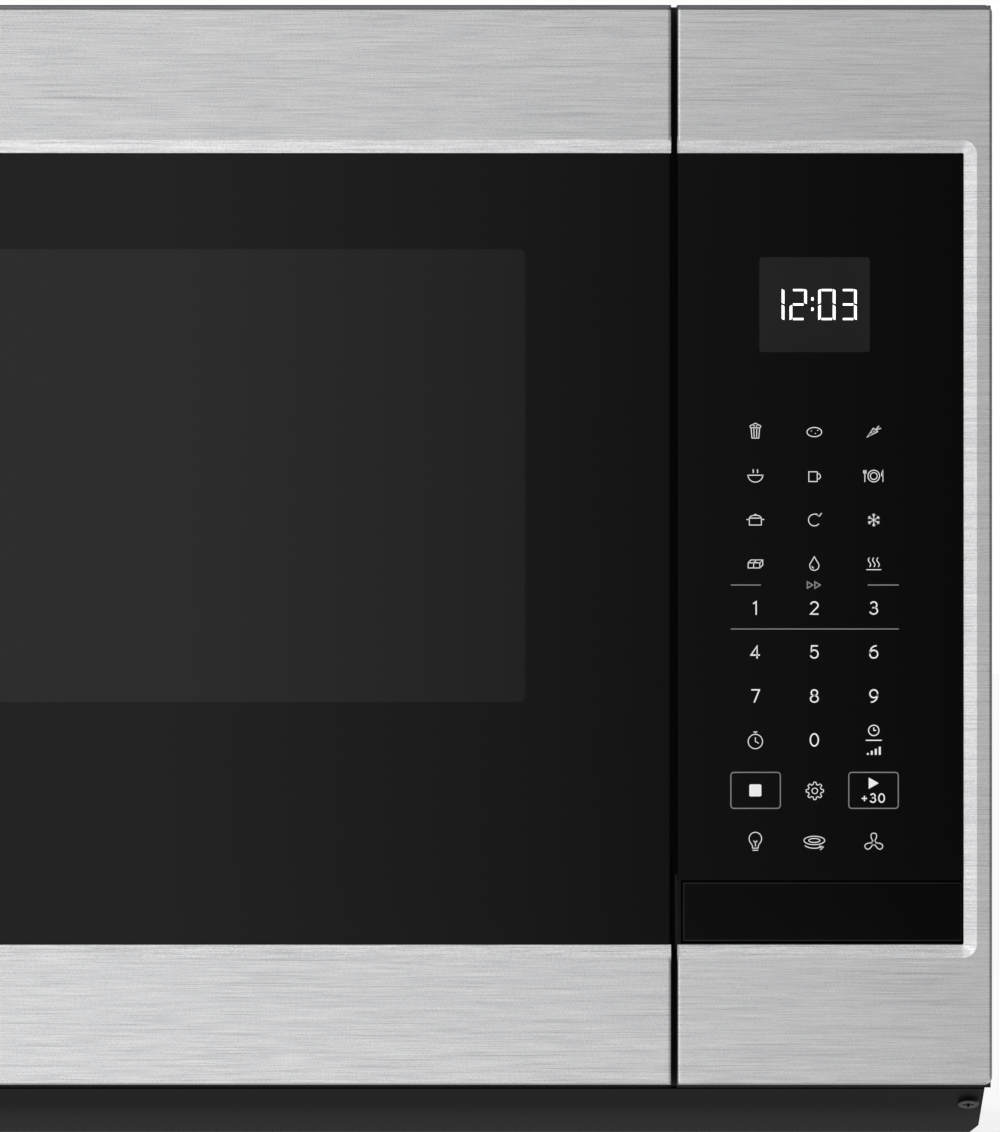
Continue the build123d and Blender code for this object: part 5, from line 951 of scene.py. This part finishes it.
icons = {  # strokes of each pictogram, and which of them are closed
    "cup": ([[(-5, 5), (-4, -7), (4, -7), (5, 5)], arc(-3.6, 6, 2.6, 2.4, 10, 200),
             arc(3.6, 6, 2.6, 2.4, -20, 170), arc(0, 7.6, 2.8, 2.6, 0, 180), [(-1.7, 4), (-1.4, -6)],
             [(1.7, 4), (1.4, -6)]], (0,)),
    "tuber": ([arc(0, 0, 8.6, 5.4, 0, 345), [(-4, 1.4), (-2.8, 1.4)], [(0.6, -1.6), (1.8, -1.6)],
               [(3.4, 2), (4.6, 2)]], (0,)),
    "root": ([[(-8, -6), (-0.5, 4.5), (4.5, 0.5)], [(2, 2.6), (6, 7.2)], [(2, 2.6), (8.4, 4.4)],
              [(-3.6, -0.2), (-1.6, -1.4)], [(-0.6, 1.2), (1, 0)]], (0,)),
    "bowl": ([arc(0, 1, 8.6, 8, 180, 360), [(-9.4, 1), (9.4, 1)],
              [(-3, 3.6), (-2, 5), (-3, 6.4), (-2, 7.8)], [(2, 3.6), (3, 5), (2, 6.4), (3, 7.8)]], ()),
    "mug": ([[(-6.4, 5), (-6.4, -6.4), (3.4, -6.4), (3.4, 5)], arc(3.4, -0.4, 3.8, 3.4, -80, 80)], (0,)),
    "dish": ([ring(0, 0, 6.8), ring(0, 0, 4.0), [(-10.4, 6.8), (-10.4, -6.8)],
              [(-11.8, 6.8), (-11.8, 3.4), (-9, 3.4), (-9, 6.8)],
              [(10.6, -6.8), (10.6, 6.8), (9.2, 3.4), (9.2, 0.4), (10.6, 0.4)]], (0, 1)),
    "pot": ([[(-7, 2.2), (-7, -5.8), (7, -5.8), (7, 2.2)], arc(0, 2.4, 6.6, 3.2, 0, 180),
             [(-10.4, 0.6), (-7, 0.6)], [(7, 0.6), (10.4, 0.6)], [(-1, 6.6), (1, 6.6)]], (0,)),
    "again": ([arc(0, 0, 6.8, 6.8, 40, 320, 26), [(1.8, 7.6), (5.6, 4.3), (8.6, 8.0)]], ()),
    "flake": ([spoke(7.6, t) for t in sixth] + [barb(t, side) for t in sixth for side in (-1, 1)], ()),
    "block": ([[(-8.4, -4.6), (5.2, -4.6), (5.2, 1.4), (-8.4, 1.4)],
               [(-8.4, 1.4), (-5, 4.8), (8.6, 4.8), (5.2, 1.4)], [(8.6, 4.8), (8.6, -1.2), (5.2, -4.6)],
               [(-2, -4.6), (-2, 1.4), (1.4, 4.8)]], (0,)),
    "drop": ([arc(0, -2, 5.4, 5.4, 150, 390, 20) + [(0, 8.4)], arc(0, -2, 2.8, 2.8, 190, 260, 6)], (0,)),
    "waves": ([[(x + 1.5 * sin(i * pi / 4), -3.4 + i * 1.35) for i in range(9)] for x in (-5, 0, 5)]
              + [[(-8.6, -6.6), (8.6, -6.6)]], ()),
    "clock": ([ring(0, -0.6, 7.2), [(0, 3.6), (0, -0.6), (3.4, -2.4)], [(-2, 9), (2, 9)],
               [(0, 9), (0, 6.6)]], (0,)),
    "smallClock": ([ring(0, 0, 5.2), [(0, 3), (0, 0), (2.4, 0)]], (0,)),
    "bars": ([[(x, -4.4), (x, -2.6 + 2.1 * i)] for i, x in enumerate((-6, -2, 2, 6))], ()),
    "gear": ([gear, ring(0, 0, 2.8)], (0, 1)),
    "bulb": ([arc(0, 3.2, 6.4, 6.6, -52, 232, 26),
              [(4, -2), (2.9, -4.4), (2.9, -6.4), (-2.9, -6.4), (-2.9, -4.4), (-4, -2)],
              [(2.9, -8.6), (-2.9, -8.6)], [(0, -4.4), (0, -0.9)],
              [(-1.9, 1.2), (0, -0.9), (1.9, 1.2)]], ()),
    "fan": ([blade(0), blade(120), blade(240), ring(0, 0, 2.3)], (0, 1, 2, 3)),
    "plate": ([arc(0, 1.4, 10.4, 4.2, 0, 352, 30), arc(0, 1.4, 5.6, 2.0, 0, 350, 24),
               arc(0, -1.6, 10.4, 4.8, 205, 322, 14), [(6.0, -8.2), (9.0, -5.0), (4.6, -4.0)]], (0, 1)),
    "quick": ([[(-7, 3.2), (-1.6, 0), (-7, -3.2)], [(0.6, 3.2), (6, 0), (0.6, -3.2)]], (0, 1)),
    "stroke": ([[(-8, 0), (8, 0)]], ()),
}
keypad = {
    "columns": (755.5, 814.5, 874.0),
    "foods": (  # row and its pictograms
        (432, ("cup", "tuber", "root")),
        (476, ("bowl", "mug", "dish")),
        (520, ("pot", "again", "flake")),
        (564, ("block", "drop", "waves")),
    ),
    "foodScale": 0.86,
    "marks": (  # pictogram, column, row, scale and stroke
        ("clock", 755.5, 741, 1.0, face["stroke"]),
        ("smallClock", 874, 730.5, 1.0, 0.95),
        ("bars", 874, 750.5, 1.0, 1.9),
        ("stroke", 874, 740.4, 1.0, 1.0),
        ("gear", 815, 791, 1.0, face["stroke"]),
        ("bulb", 755.5, 842, 0.98, face["stroke"]),
        ("fan", 874, 843, 0.95, face["stroke"]),
        ("plate", 814.5, 842, 1.0, face["stroke"]),
    ),
    "quick": (814.5, 585, 1.2),
    "rules": ((731, 761, 585), (868, 899, 585), (731, 899, 629)),  # from, to and row
    "frames": ((731, 780.5), (849, 898.5)),
    "frameRows": (772.5, 808.5, 3.0),  # and the corners' radius
    "line": 1.0,
    "stopMark": (749.5, 784.5, 761.5, 796.5, 1.4),
    "startMark": [(868.9, 777.6), (868.9, 789.0), (878.9, 783.3)],
    "addMarks": (("+", 864.6, 0.66), ("3", 873.2, 0.6), ("0", 881.8, 0.6)),  # figure, column and scale
    "addRow": 798.2,
    "addStroke": 1.25,
    "figureStroke": 1.35,
    "figureScale": 0.87,
    "figureRows": ((608, "123"), (652, "456"), (696, "789"), (740, " 0 ")),
}
white, dim = [], []
for row, names in keypad["foods"]:
    for column, name in zip(keypad["columns"], names):
        white += stamp((column, row), *icons[name], scale=keypad["foodScale"])
for name, column, row, scale, width in keypad["marks"]:
    white += stamp((column, row), *icons[name], scale=scale, width=width)
column, row, width = keypad["quick"]
dim += stamp((column, row), *icons["quick"], width=width)
for start, end, row in keypad["rules"]:
    dim += ribbon([(start, row), (end, row)], keypad["line"])
upper, lower, corner = keypad["frameRows"]
for start, end in keypad["frames"]:
    dim += ribbon(roundedBox(start, upper, end, lower, corner), keypad["line"], True)
printPiece("keypadPrint", white, printWhite, "chassis", face["lift"])
printPiece("keypadLines", dim, printGrey, "chassis", face["lift"])

# strokes of plain figures, 10 wide and 15.4 high, about their middle
figures = {
    "0": ([arc(0, 0, 4.6, 7.0, 0, 356, 28)], (0,)),
    "1": ([[(-2.6, 4.7), (0.9, 7.2), (0.9, -7.7)]], ()),
    "2": ([arc(0, 3.0, 4.3, 4.0, 165, -25, 14) + [(-4.4, -7.0), (4.8, -7.0)]], ()),
    "3": ([arc(-0.2, 3.5, 3.7, 3.5, 160, -80, 14), arc(-0.2, -3.2, 4.4, 3.8, 85, -165, 16),
           [(-1.6, 0.35), (0.4, 0.35)]], ()),
    "4": ([[(2.0, -7.7), (2.0, 6.8), (-5.0, -3.6), (5.2, -3.6)]], ()),
    "5": ([[(4.0, 7.0), (-3.0, 7.0), (-3.9, 0.2)] + arc(-0.2, -2.4, 4.5, 4.6, 140, -160, 18)], ()),
    "6": ([arc(0, -2.5, 4.5, 4.5, 0, 355, 26),
           [(-4.4, -2.2), (-4.0, 1.4), (-2.4, 4.6), (0.2, 6.6), (3.4, 7.2)]], (0,)),
    "7": ([[(-4.6, 7.0), (4.6, 7.0), (-1.4, -7.7)]], ()),
    "8": ([arc(0, 3.7, 3.6, 3.3, 0, 355, 24), arc(0, -3.4, 4.4, 3.7, 0, 355, 26)], (0, 1)),
    "9": ([arc(0, 2.5, 4.5, 4.5, 0, 355, 26),
           [(4.4, 2.2), (4.0, -1.4), (2.4, -4.6), (-0.2, -6.6), (-3.4, -7.2)]], (0,)),
    "+": ([[(-4.0, -0.6), (4.0, -0.6)], [(0, 3.4), (0, 0.4)], [(0, -1.6), (0, -4.6)]], ()),
    " ": ([], ()),
}
strokes = []
for row, line in keypad["figureRows"]:
    for column, figure in zip(keypad["columns"], line):
        strokes += stamp((column, row), *figures[figure], keypad["figureScale"], keypad["figureStroke"])
printPiece("keypadDigits", strokes, printWhite, "chassis", face["lift"])
bright = [roundedBox(*keypad["stopMark"]), keypad["startMark"]]
for figure, column, scale in keypad["addMarks"]:
    bright += stamp((column, keypad["addRow"]), *figures[figure], scale, keypad["addStroke"])
printPiece("keypadMarks", bright, printBright, "chassis", face["lift"])
print("keypad printed")

# the clock behind the panel glass: a dark pane and seven segment figures
clock = {
    "pane": (759.5, 257.0, 870.0, 352.0, 3.2),
    "paneLift": (0.00001, 0.00002),  # off the glass, and its thickness
    "lift": 0.00005,
    "top": 288.9,
    "middle": 304.3,
    "bottom": 319.9,
    "stroke": (2.6, 2.05),  # of an upright bar and of a level one
    "gap": 0.8,
    "slant": 1.3,
    "width": 17.2,
    "cells": [("1", 767.3), ("2", 789.8), ("0", 818.4), ("3", 839.7)],
    "colon": (812.6, (298.8, 309.0)),
    "dot": (1.2, 1.7, 0.8),  # half width, half height and corner
}
segmentsOf = {"1": "bc", "2": "abged", "0": "abcdef", "3": "abgcd"}


def segment(letter, left):
    # one bar of a seven segment figure, with slanted ends
    right, gap, slant = left + clock["width"], clock["gap"], clock["slant"]
    across, along = clock["stroke"]
    top, mid, low = clock["top"], clock["middle"], clock["bottom"]
    if letter in "agd":
        y = {"a": top + along / 2, "g": mid, "d": low - along / 2}[letter]
        x0, x1 = left + across + gap, right - across - gap
        return [(x0, y - along / 2), (x1, y - along / 2), (x1, y + along / 2), (x0, y + along / 2)]
    x = left if letter in "ef" else right - across
    y0, y1 = (top, mid - gap / 2) if letter in "bf" else (mid + gap / 2, low)
    if letter in "bc":
        return [(x, y0), (x + across, y0 + slant), (x + across, y1), (x, y1 - slant)]
    return [(x, y0 + slant), (x + across, y0), (x + across, y1 - slant), (x, y1)]


bars = [segment(letter, left) for figure, left in clock["cells"] for letter in segmentsOf[figure]]
column, rows = clock["colon"]
halfWidth, halfHeight, corner = clock["dot"]
left, right = column - halfWidth, column + halfWidth
for y in rows:
    bars.append(roundedBox(left, y - halfHeight, right, y + halfHeight, corner, 3))
printPiece("displayPane", [roundedBox(*clock["pane"])], displayPane, "chassis", *clock["paneLift"])
printPiece("clockSegments", bars, segmentLight, "chassis", clock["lift"])

# near-black strip at the joint between the folded lips and the glass: a thin bead, its colour also painted
# contact shadow
joint = {
    "width": 0.9,  # in pixels, as the inset is
    "inset": 0.5,
    "end": 0.0006,  # short of the glass's end at the seam
    "lift": (0.00002, 0.00006),  # off the glass, and its thickness
    "openX": (-0.3686, 0.3686),  # limits of the opening in the steel
    "openZ": (0.0744, 0.3779),
}
doorBox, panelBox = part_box("door_glass"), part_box("panel_glass")
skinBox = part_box("door_skin")


def pixelX(x):
    return x / photo["scale"] + photo["left"]


def pixelY(z):
    return photo["row"] - (z - photo["level"]) / photo["scale"]


inset = joint["inset"] * photo["scale"]
openLeft, openRight = joint["openX"][0] + inset, joint["openX"][1] - inset
openLow, openTop = joint["openZ"][0] + inset, joint["openZ"][1] - inset
doorEnd, panelEnd = doorBox[1].x - joint["end"], panelBox[0].x + joint["end"]
doorLine = [(doorEnd, openTop), (openLeft, openTop), (openLeft, openLow), (doorEnd, openLow)]
panelLine = [(panelEnd, openTop), (openRight, openTop), (openRight, panelBox[0].z)]
for name, line, body in (("doorSeal", doorLine, "door"), ("panelSeal", panelLine, "chassis")):
    corners = ribbon([(pixelX(x), pixelY(z)) for x, z in line], joint["width"])
    printPiece(name, corners, sealBlack, body, *joint["lift"])
print("display and joints made")

# perforated screen: near-black discs over the window of the door's inner plate; their colour is painted
# shade standing for the holes, which are not cut
screen = {
    "pitch": 0.0029,
    "rowPitch": 0.866,  # share of the pitch between two staggered rows
    "corners": 6,
    "hole": 0.00105,
    "window": ((-0.3225, 0.1995), (0.1000, 0.3400)),
    "lift": 0.00004,
}


def makeScreenTree():
    tree = GeometryTree("screenHoles", [
        ("Pitch", "NodeSocketFloat", screen["pitch"]),
        ("Hole", "NodeSocketFloat", screen["hole"]),
        ("Width", "NodeSocketFloat", 0.5),
        ("Height", "NodeSocketFloat", 0.2),
        ("Columns", "NodeSocketInt", 10),
        ("Rows", "NodeSocketInt", 10),
        ("Place", "NodeSocketVector", (0.0, 0.0, 0.0)),
        ("Turn", "NodeSocketFloat", pi / 2),
    ])
    sizes = {"Vertices": screen["corners"], "Radius": tree.size("Hole")}
    dot = tree.node("GeometryNodeMeshCircle", {"fill_type": "NGON"}, sizes)
    grid = tree.node("GeometryNodeMeshGrid", {}, {
        "Size X": tree.size("Width"), "Size Y": tree.size("Height"),
        "Vertices X": tree.size("Columns"), "Vertices Y": tree.size("Rows"),
    })
    shift = tree.vector(tree.size("Pitch") * 0.5, tree.size("Pitch") * screen["rowPitch"])
    dots = tree.scatter(tree.join(grid, tree.move(grid, shift)), dot)
    tree.close(tree.move(dots, tree.size("Place"), tree.vector(tree.size("Turn"))))
    return tree


screenTree = makeScreenTree()
(windowLeft, windowRight), (windowLow, windowHigh) = screen["window"]
rise = 2 * screen["rowPitch"] * screen["pitch"]
columns = int((windowRight - windowLeft) / screen["pitch"])
rows = int((windowHigh - windowLow) / rise)
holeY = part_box("inner_window")[0].y + screen["lift"]
screenTree.grow("screenHolesInner", "door", holeBlack, {
    "Width": (columns - 1) * screen["pitch"],
    "Height": (rows - 1) * rise,
    "Columns": columns,
    "Rows": rows,
    "Place": ((windowLeft + windowRight) / 2, holeY, (windowLow + windowHigh) / 2),
    "Turn": -pi / 2,
})
print("screen holes made")

# grease filter mesh: expanded metal in the recess of each frame
meshPad = {
    "wave": 0.00105,  # how far a wire swings each way, a quarter of a diamond's height
    "length": 0.0066,
    "wire": 0.00042,
    "border": 0.0092,
    "depth": 0.137,  # of the frame
    "play": 0.0008,
    "lift": 0.0012,
    "wireSides": 4,
    "pointsInWave": 10,
}


def makeMeshTree():
    tree = GeometryTree("expandedMetal", [
        ("Width", "NodeSocketFloat", 0.18),
        ("Depth", "NodeSocketFloat", 0.12),
        ("Wave", "NodeSocketFloat", meshPad["wave"]),
        ("Length", "NodeSocketFloat", meshPad["length"]),
        ("Wire", "NodeSocketFloat", meshPad["wire"]),
        ("Rows", "NodeSocketInt", 20),
        ("Points", "NodeSocketInt", 120),
        ("Place", "NodeSocketVector", (0.0, 0.0, 0.0)),
    ])
    half = tree.size("Width") * 0.5
    ends = {"Start": tree.vector(0 - half), "End": tree.vector(half)}
    line = tree.node("GeometryNodeCurvePrimitiveLine", {}, ends)
    fine = tree.node("GeometryNodeResampleCurve", {}, {"Curve": line, "Count": tree.size("Points")})
    section = {"Resolution": meshPad["wireSides"], "Radius": tree.size("Wire")}
    profile = tree.node("GeometryNodeCurvePrimitiveCircle", {}, section)
    along = tree.parts(tree.node("GeometryNodeInputPosition"))[0]
    step = tree.vector(y=tree.size("Wave") * 4)
    wires = []
    for phase, shift in ((0.0, 0.0), (pi, 1.0)):
        lift = (along * (2 * pi) / tree.size("Length") + phase).sine() * tree.size("Wave")
        wavy = tree.node("GeometryNodeSetPosition", {}, {"Geometry": fine, "Offset": tree.vector(y=lift)})
        wire = tree.node("GeometryNodeCurveToMesh", {}, {"Curve": wavy, "Profile Curve": profile})
        first = tree.vector(y=tree.size("Wave") * (2 * shift) - tree.size("Depth") * 0.5)
        wires.append(tree.scatter(tree.row(tree.size("Rows"), first, step), wire))
    tree.close(tree.move(tree.join(*wires), tree.size("Place")))
    return tree


meshTree = makeMeshTree()
for side in ("left", "right"):
    low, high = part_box("grease_filter_" + side)
    width = high.x - low.x - 2 * meshPad["border"]
    depth = meshPad["depth"] - 2 * meshPad["border"]
    meshTree.grow("filterMesh_" + side, "grease_" + side, wireAluminium, {
        "Width": width,
        "Depth": depth - meshPad["play"],
        "Rows": int(depth / (4 * meshPad["wave"])),
        "Points": int(width / meshPad["length"] * meshPad["pointsInWave"]),
        "Place": ((low.x + high.x) / 2, low.y + meshPad["depth"] / 2, low.z + meshPad["lift"]),
    })
print("filter mesh made")

# turntable tray: turned glass with ribs below
tray = {
    "height": 0.0120,
    "section": [  # share of the way round, radius and height of the glass section
        (0.00, 0.0, 0.0), (0.20, 0.1380, 0.0), (0.24, 0.1412, 0.0004), (0.28, 0.1436, 0.0018),
        (0.34, 0.1500, 0.0088),
        (0.37, 0.1518, 0.0104), (0.40, 0.1524, 0.0114), (0.43, 0.1519, 0.0120), (0.46, 0.1504, 0.0119),
        (0.49, 0.1482, 0.0104), (0.56, 0.1420, 0.0056), (0.60, 0.1396, 0.0042), (0.64, 0.1360, 0.0038),
        (0.70, 0.0620, 0.0038), (0.72, 0.0605, 0.0045), (0.74, 0.0590, 0.0045), (0.76, 0.0575, 0.0038),
        (1.00, 0.0, 0.0038),
    ],
    "reach": (0.16, 0.02),  # the most that the section's radius and height can be
    "along": 90,
    "around": 144,
    "ripple": 0.00022,
    "ribs": 72,
    "ribsTo": 0.27,  # share of the way round
    "ribsFrom": 0.03,  # radius
    "joinWithin": 0.00004,
    "postSides": 16,
    "posts": (0.01685, 0.0020, 0.0045, 20.85),  # circle, radius, height and angle of the drive posts
}


def makeTrayTree():
    tree = GeometryTree("turnedTray", [
        ("Ripple", "NodeSocketFloat", tray["ripple"]),
        ("Around", "NodeSocketInt", tray["around"]),
        ("Place", "NodeSocketVector", (0.0, 0.0, 0.0)),
    ])
    grid = tree.node("GeometryNodeMeshGrid", {}, {
        "Size X": 1.0, "Size Y": 1.0, "Vertices X": tray["along"], "Vertices Y": tree.size("Around"),
    })
    gridX, gridY = tree.parts(tree.node("GeometryNodeInputPosition"))[:2]
    along = gridX + 0.5
    turn = (gridY + 0.5) * (2 * pi)
    values = []
    for column, top in enumerate(tray["reach"], 1):
        curve = tree.node("ShaderNodeFloatCurve", {}, {"Factor": 1.0, "Value": along})
        points = curve.mapping.curves[0].points
        while len(points) < len(tray["section"]):
            points.new(0.5, 0.5)
        for point, corner in zip(points, tray["section"]):
            point.location = (corner[0], corner[column] / top)
            point.handle_type = "VECTOR"
        curve.mapping.update()
        values.append(Value(tree, curve.outputs[0]) * top)
    radius, height = values
    below = (along < tray["ribsTo"]) * (radius > tray["ribsFrom"])
    ripple = (turn * tray["ribs"]).sine() * tree.size("Ripple") * below
    spot = tree.vector(
        radius * tree.math("COSINE", turn), radius * turn.sine(), height - ripple.absolute()
    )
    turned = tree.node("GeometryNodeSetPosition", {}, {"Geometry": grid, "Position": spot})
    merges = {"Geometry": turned, "Distance": tray["joinWithin"]}
    closed = tree.node("GeometryNodeMergeByDistance", {}, merges)
    smooth = tree.node("GeometryNodeSetShadeSmooth", {}, {"Geometry": closed, "Shade Smooth": True})
    circle, thick, tall, angle = tray["posts"]
    sizes = {"Vertices": tray["postSides"], "Radius": thick, "Depth": tall}
    post = tree.node("GeometryNodeMeshCylinder", {}, sizes)
    posts = []
    for side in (-1, 1):
        three = tree.node("GeometryNodeMeshCircle", {}, {"Vertices": 3, "Radius": circle})
        turnedThree = tree.move(three, (0.0, 0.0, -tall / 2), (0.0, 0.0, radians(side * angle)))
        posts.append(tree.scatter(turnedThree, post))
    tree.close(tree.move(tree.join(smooth, *posts), tree.size("Place")))
    return tree


trayLow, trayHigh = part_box("glass_tray")
trayTree = makeTrayTree()
trayPiece = trayTree.grow("turntableTray", "tray", trayGlass, {
    "Place": ((trayLow.x + trayHigh.x) / 2, (trayLow.y + trayHigh.y) / 2, trayHigh.z - tray["height"]),
})
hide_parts("glass_tray")
print("tray made")

# clips along the top edge of the face
clips = {
    "pitch": 0.0464,
    "size": (0.0030, 0.006, 0.0006),
    "first": px(706.5),
    "inset": 0.0170,
    "lift": 0.0001,
    "seam": 0.034,  # from the panel's first clip to the door's last
    "panelCount": 3,
    "doorCount": 13,
}


def makeClipTree():
    tree = GeometryTree("topClips", [
        ("Size", "NodeSocketVector", clips["size"]),
        ("Pitch", "NodeSocketFloat", clips["pitch"]),
        ("Count", "NodeSocketInt", 3),
        ("Place", "NodeSocketVector", (0.0, 0.0, 0.0)),
    ])
    tab = tree.node("GeometryNodeMeshCube", {}, {"Size": tree.size("Size")})
    points = tree.row(tree.size("Count"), tree.size("Place"), tree.vector(tree.size("Pitch")))
    tree.close(tree.scatter(points, tab))
    return tree


clipTree = makeClipTree()
clipY, clipZ = skinBox[0].y + clips["inset"], skinBox[1].z + clips["lift"]
doorFirst = clips["first"] - clips["seam"] - clips["pitch"] * (clips["doorCount"] - 1)
clipTree.grow("panelClips", "chassis", brushed, {
    "Count": clips["panelCount"], "Place": (clips["first"], clipY, clipZ),
})
clipTree.grow("doorClips", "door", brushed, {
    "Count": clips["doorCount"], "Place": (doorFirst, clipY, clipZ),
})
print("clips made")

# the two coil springs are copied as loose pieces in place of their parts, which are hidden; their ends are
# found but nothing moves them
springs = (  # name, node, the two bodies and the axis they lie along
    ("latchCoil", "latch_spring", "door", "latch", 2),
    ("buttonCoil", "button_spring", "chassis", "release_button", 1),
)
for name, node, holder, mover, along in springs:
    coil = addObject(name, frame["nodes"][node].data.copy())
    low, high = (Vector(corner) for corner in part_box(node))
    heldEnd, movedEnd = (low + high) / 2, (low + high) / 2
    heldEnd[along], movedEnd[along] = high[along], low[along]
    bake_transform(coil)
    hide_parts(node)
print("springs made")

# stage: floor, cards, lamps and camera
studio = {
    "fill": 0.84,  # the room on matt surfaces
    "floorGlow": 0.80,
    "floorReach": 30.0,
    "floorDrop": 0.0003,
    "underReach": 0.012,  # nearer than this the floor is open
    "floor": grey(238),
}


def makeFloor():
    finish = Finish("paleFloor")
    matt = finish.node("ShaderNodeBsdfDiffuse", {}, {"Color": studio["floor"]})
    glow = finish.node("ShaderNodeEmission", {}, {"Color": grey(255), "Strength": 1.0})
    seen = finish.shown() * studio["floorGlow"]
    both = finish.node("ShaderNodeMixShader", {}, {0: seen, 1: matt, 2: glow})
    # the floor is open from below and right under the base, so that the underside can be seen
    under = Value(finish, finish.node("ShaderNodeNewGeometry").outputs["Backfacing"])
    length = Value(finish, finish.node("ShaderNodeLightPath").outputs["Ray Length"])
    opening = finish.math("MAXIMUM", under, length < studio["underReach"])
    through = finish.node("ShaderNodeBsdfTransparent")
    surface = finish.node("ShaderNodeMixShader", {}, {0: opening, 1: both, 2: through})
    finish.node("ShaderNodeOutputMaterial", {}, {"Surface": surface})
    return finish.material


def stageBoard(name, corners, material):
    mesh = bpy.data.meshes.new(name)
    mesh.from_pydata(corners, [], [tuple(range(len(corners)))])
    mesh.materials.append(material)
    board = addObject(name, mesh)
    return board


reach, drop = studio["floorReach"], studio["floorDrop"]
floorCorners = [(x * reach, y * reach, -drop) for x, y in ((-1, -1), (1, -1), (1, 1), (-1, 1))]
stageBoard("floor", floorCorners, makeFloor())


def makeCard(name, stops, low, high):
    # a card that only reflections show: its brightness changes along X
    finish = Finish(name)
    x = finish.axes()[0]
    ramp = finish.node("ShaderNodeValToRGB", {"stops": stops}, {0: (x - low) / (high - low)})
    glow = finish.node("ShaderNodeEmission", {}, {"Color": ramp, "Strength": 1.0})
    finish.node("ShaderNodeOutputMaterial", {}, {"Surface": glow})
    return finish.material


def hideCard(card):
    card.visible_camera = False
    card.visible_diffuse = False
    card.visible_shadow = False
    card.visible_transmission = False
    card.visible_volume_scatter = False


def level(value):
    return (value, value, value, 1.0)


mirror = {  # the card that the black glass shows
    "x": (-0.62, 0.48),
    "y": -2.2,
    "z": (0.002, 0.50),
    "stops": [(-0.62, 0.42), (0.02, 0.40), (0.20, 0.22), (0.28, 0.13), (0.42, 0.05), (0.48, 0.05)],
}
fade = {  # the cards that the brushed steel shows, from light at the left to dark at the right
    "x": (-1.6, 2.4),
    "stops": [
        (-1.6, 0.66), (-0.8, 0.70), (-0.25, 1.10), (0.04, 1.12), (0.22, 0.97), (0.52, 0.14), (2.4, 0.14),
    ],
    "floorStops": [
        (-1.6, 0.66), (-0.8, 0.70), (-0.25, 1.06), (0.04, 1.08), (0.22, 0.96), (0.52, 0.46), (2.4, 0.46),
    ],
    "cards": (  # name, near and far edge as Y and Z, and stops
        ("wideCard", ((-2.6, 0.001), (-2.6, 2.2)), "stops"),
        ("lowCard", ((-2.0, 0.0015), (-0.21, 0.0015)), "floorStops"),
        ("overheadCard", ((-2.4, 2.1), (-0.1, 1.9)), "floorStops"),
    ),
}
plainCards = {  # corners and tone
    "rightCard": ([(0.56, -1.0, -0.1), (0.95, -0.25, -0.1), (0.95, -0.25, 0.65), (0.56, -1.0, 0.65)], 0.22),
    "highCard": ([(-1.6, 1.1, 0.55), (1.6, 1.1, 0.55), (1.6, 1.5, 2.6), (-1.6, 1.5, 2.6)], 0.16),
    "sideCard": ([(1.3, -0.15, -0.1), (0.9, 1.6, -0.1), (0.9, 1.6, 1.2), (1.3, -0.15, 1.2)], 0.3),
}


def gradientCard(name, reach, edges, stops):
    # a card between two edges along X, whose tone changes from its left to its right end
    left, right = reach
    (nearY, nearZ), (farY, farZ) = edges
    places = [(left, nearY, nearZ), (right, nearY, nearZ), (right, farY, farZ), (left, farY, farZ)]
    ramp = [((x - left) / (right - left), level(tone)) for x, tone in stops]
    hideCard(stageBoard(name, places, makeCard(name + "Tone", ramp, left, right)))


for name, edges, kind in fade["cards"]:
    gradientCard(name, fade["x"], edges, fade[kind])
for name, (corners, tone) in plainCards.items():
    ramp = [(0.0, level(tone)), (1.0, level(tone))]
    hideCard(stageBoard(name, corners, makeCard(name + "Tone", ramp, 0, 1)))
cardY, (cardFloor, cardTop) = mirror["y"], mirror["z"]
gradientCard("frontCard", mirror["x"], ((cardY, cardFloor), (cardY, cardTop)), mirror["stops"])

lamps = {  # place, size and power
    "keyLamp": ((-1.6, -2.2, 1.9), 1.8, 18),
    "rimLamp": ((1.8, 1.6, 1.8), 1.6, 5),
}
lampAim = Vector((0, 0, 0.2))
for name, (place, size, watts) in lamps.items():
    data = bpy.data.lights.new(name, "AREA")
    data.size = size
    data.energy = watts
    lamp = addObject(name, data)
    lamp.location = place
    lamp.rotation_euler = (lampAim - Vector(place)).to_track_quat("-Z", "Y").to_euler()

world = bpy.data.worlds.new("studioRoom")
world.use_nodes = True
bpy.context.scene.world = world
room = Nodes(world.node_tree)
world.node_tree.nodes.clear()
dull = room.node("ShaderNodeBackground", {}, {"Color": grey(255), "Strength": studio["fill"]})
clean = room.node("ShaderNodeBackground", {}, {"Color": grey(255), "Strength": 1.0})
mixed = room.node("ShaderNodeMixShader", {}, {0: room.shown(), 1: dull, 2: clean})
room.node("ShaderNodeOutputWorld", {}, {"Surface": mixed})

eye = bpy.data.cameras.new("photoCamera")
eye.sensor_fit = "VERTICAL"
eye.sensor_height = photo["sensor"]
eye.lens = photo["sensor"] * photo["distance"] / (photo["height"] * photo["scale"])
eye.clip_end = 100.0
viewer = addObject("photoCamera", eye)
viewer.location = (px(photo["width"] / 2), skinBox[0].y - photo["distance"], pz(photo["height"] / 2))
viewer.rotation_euler = (pi / 2, 0, 0)
bpy.context.scene.camera = viewer
bpy.context.scene.view_settings.view_transform = "Standard"
print("stage set")
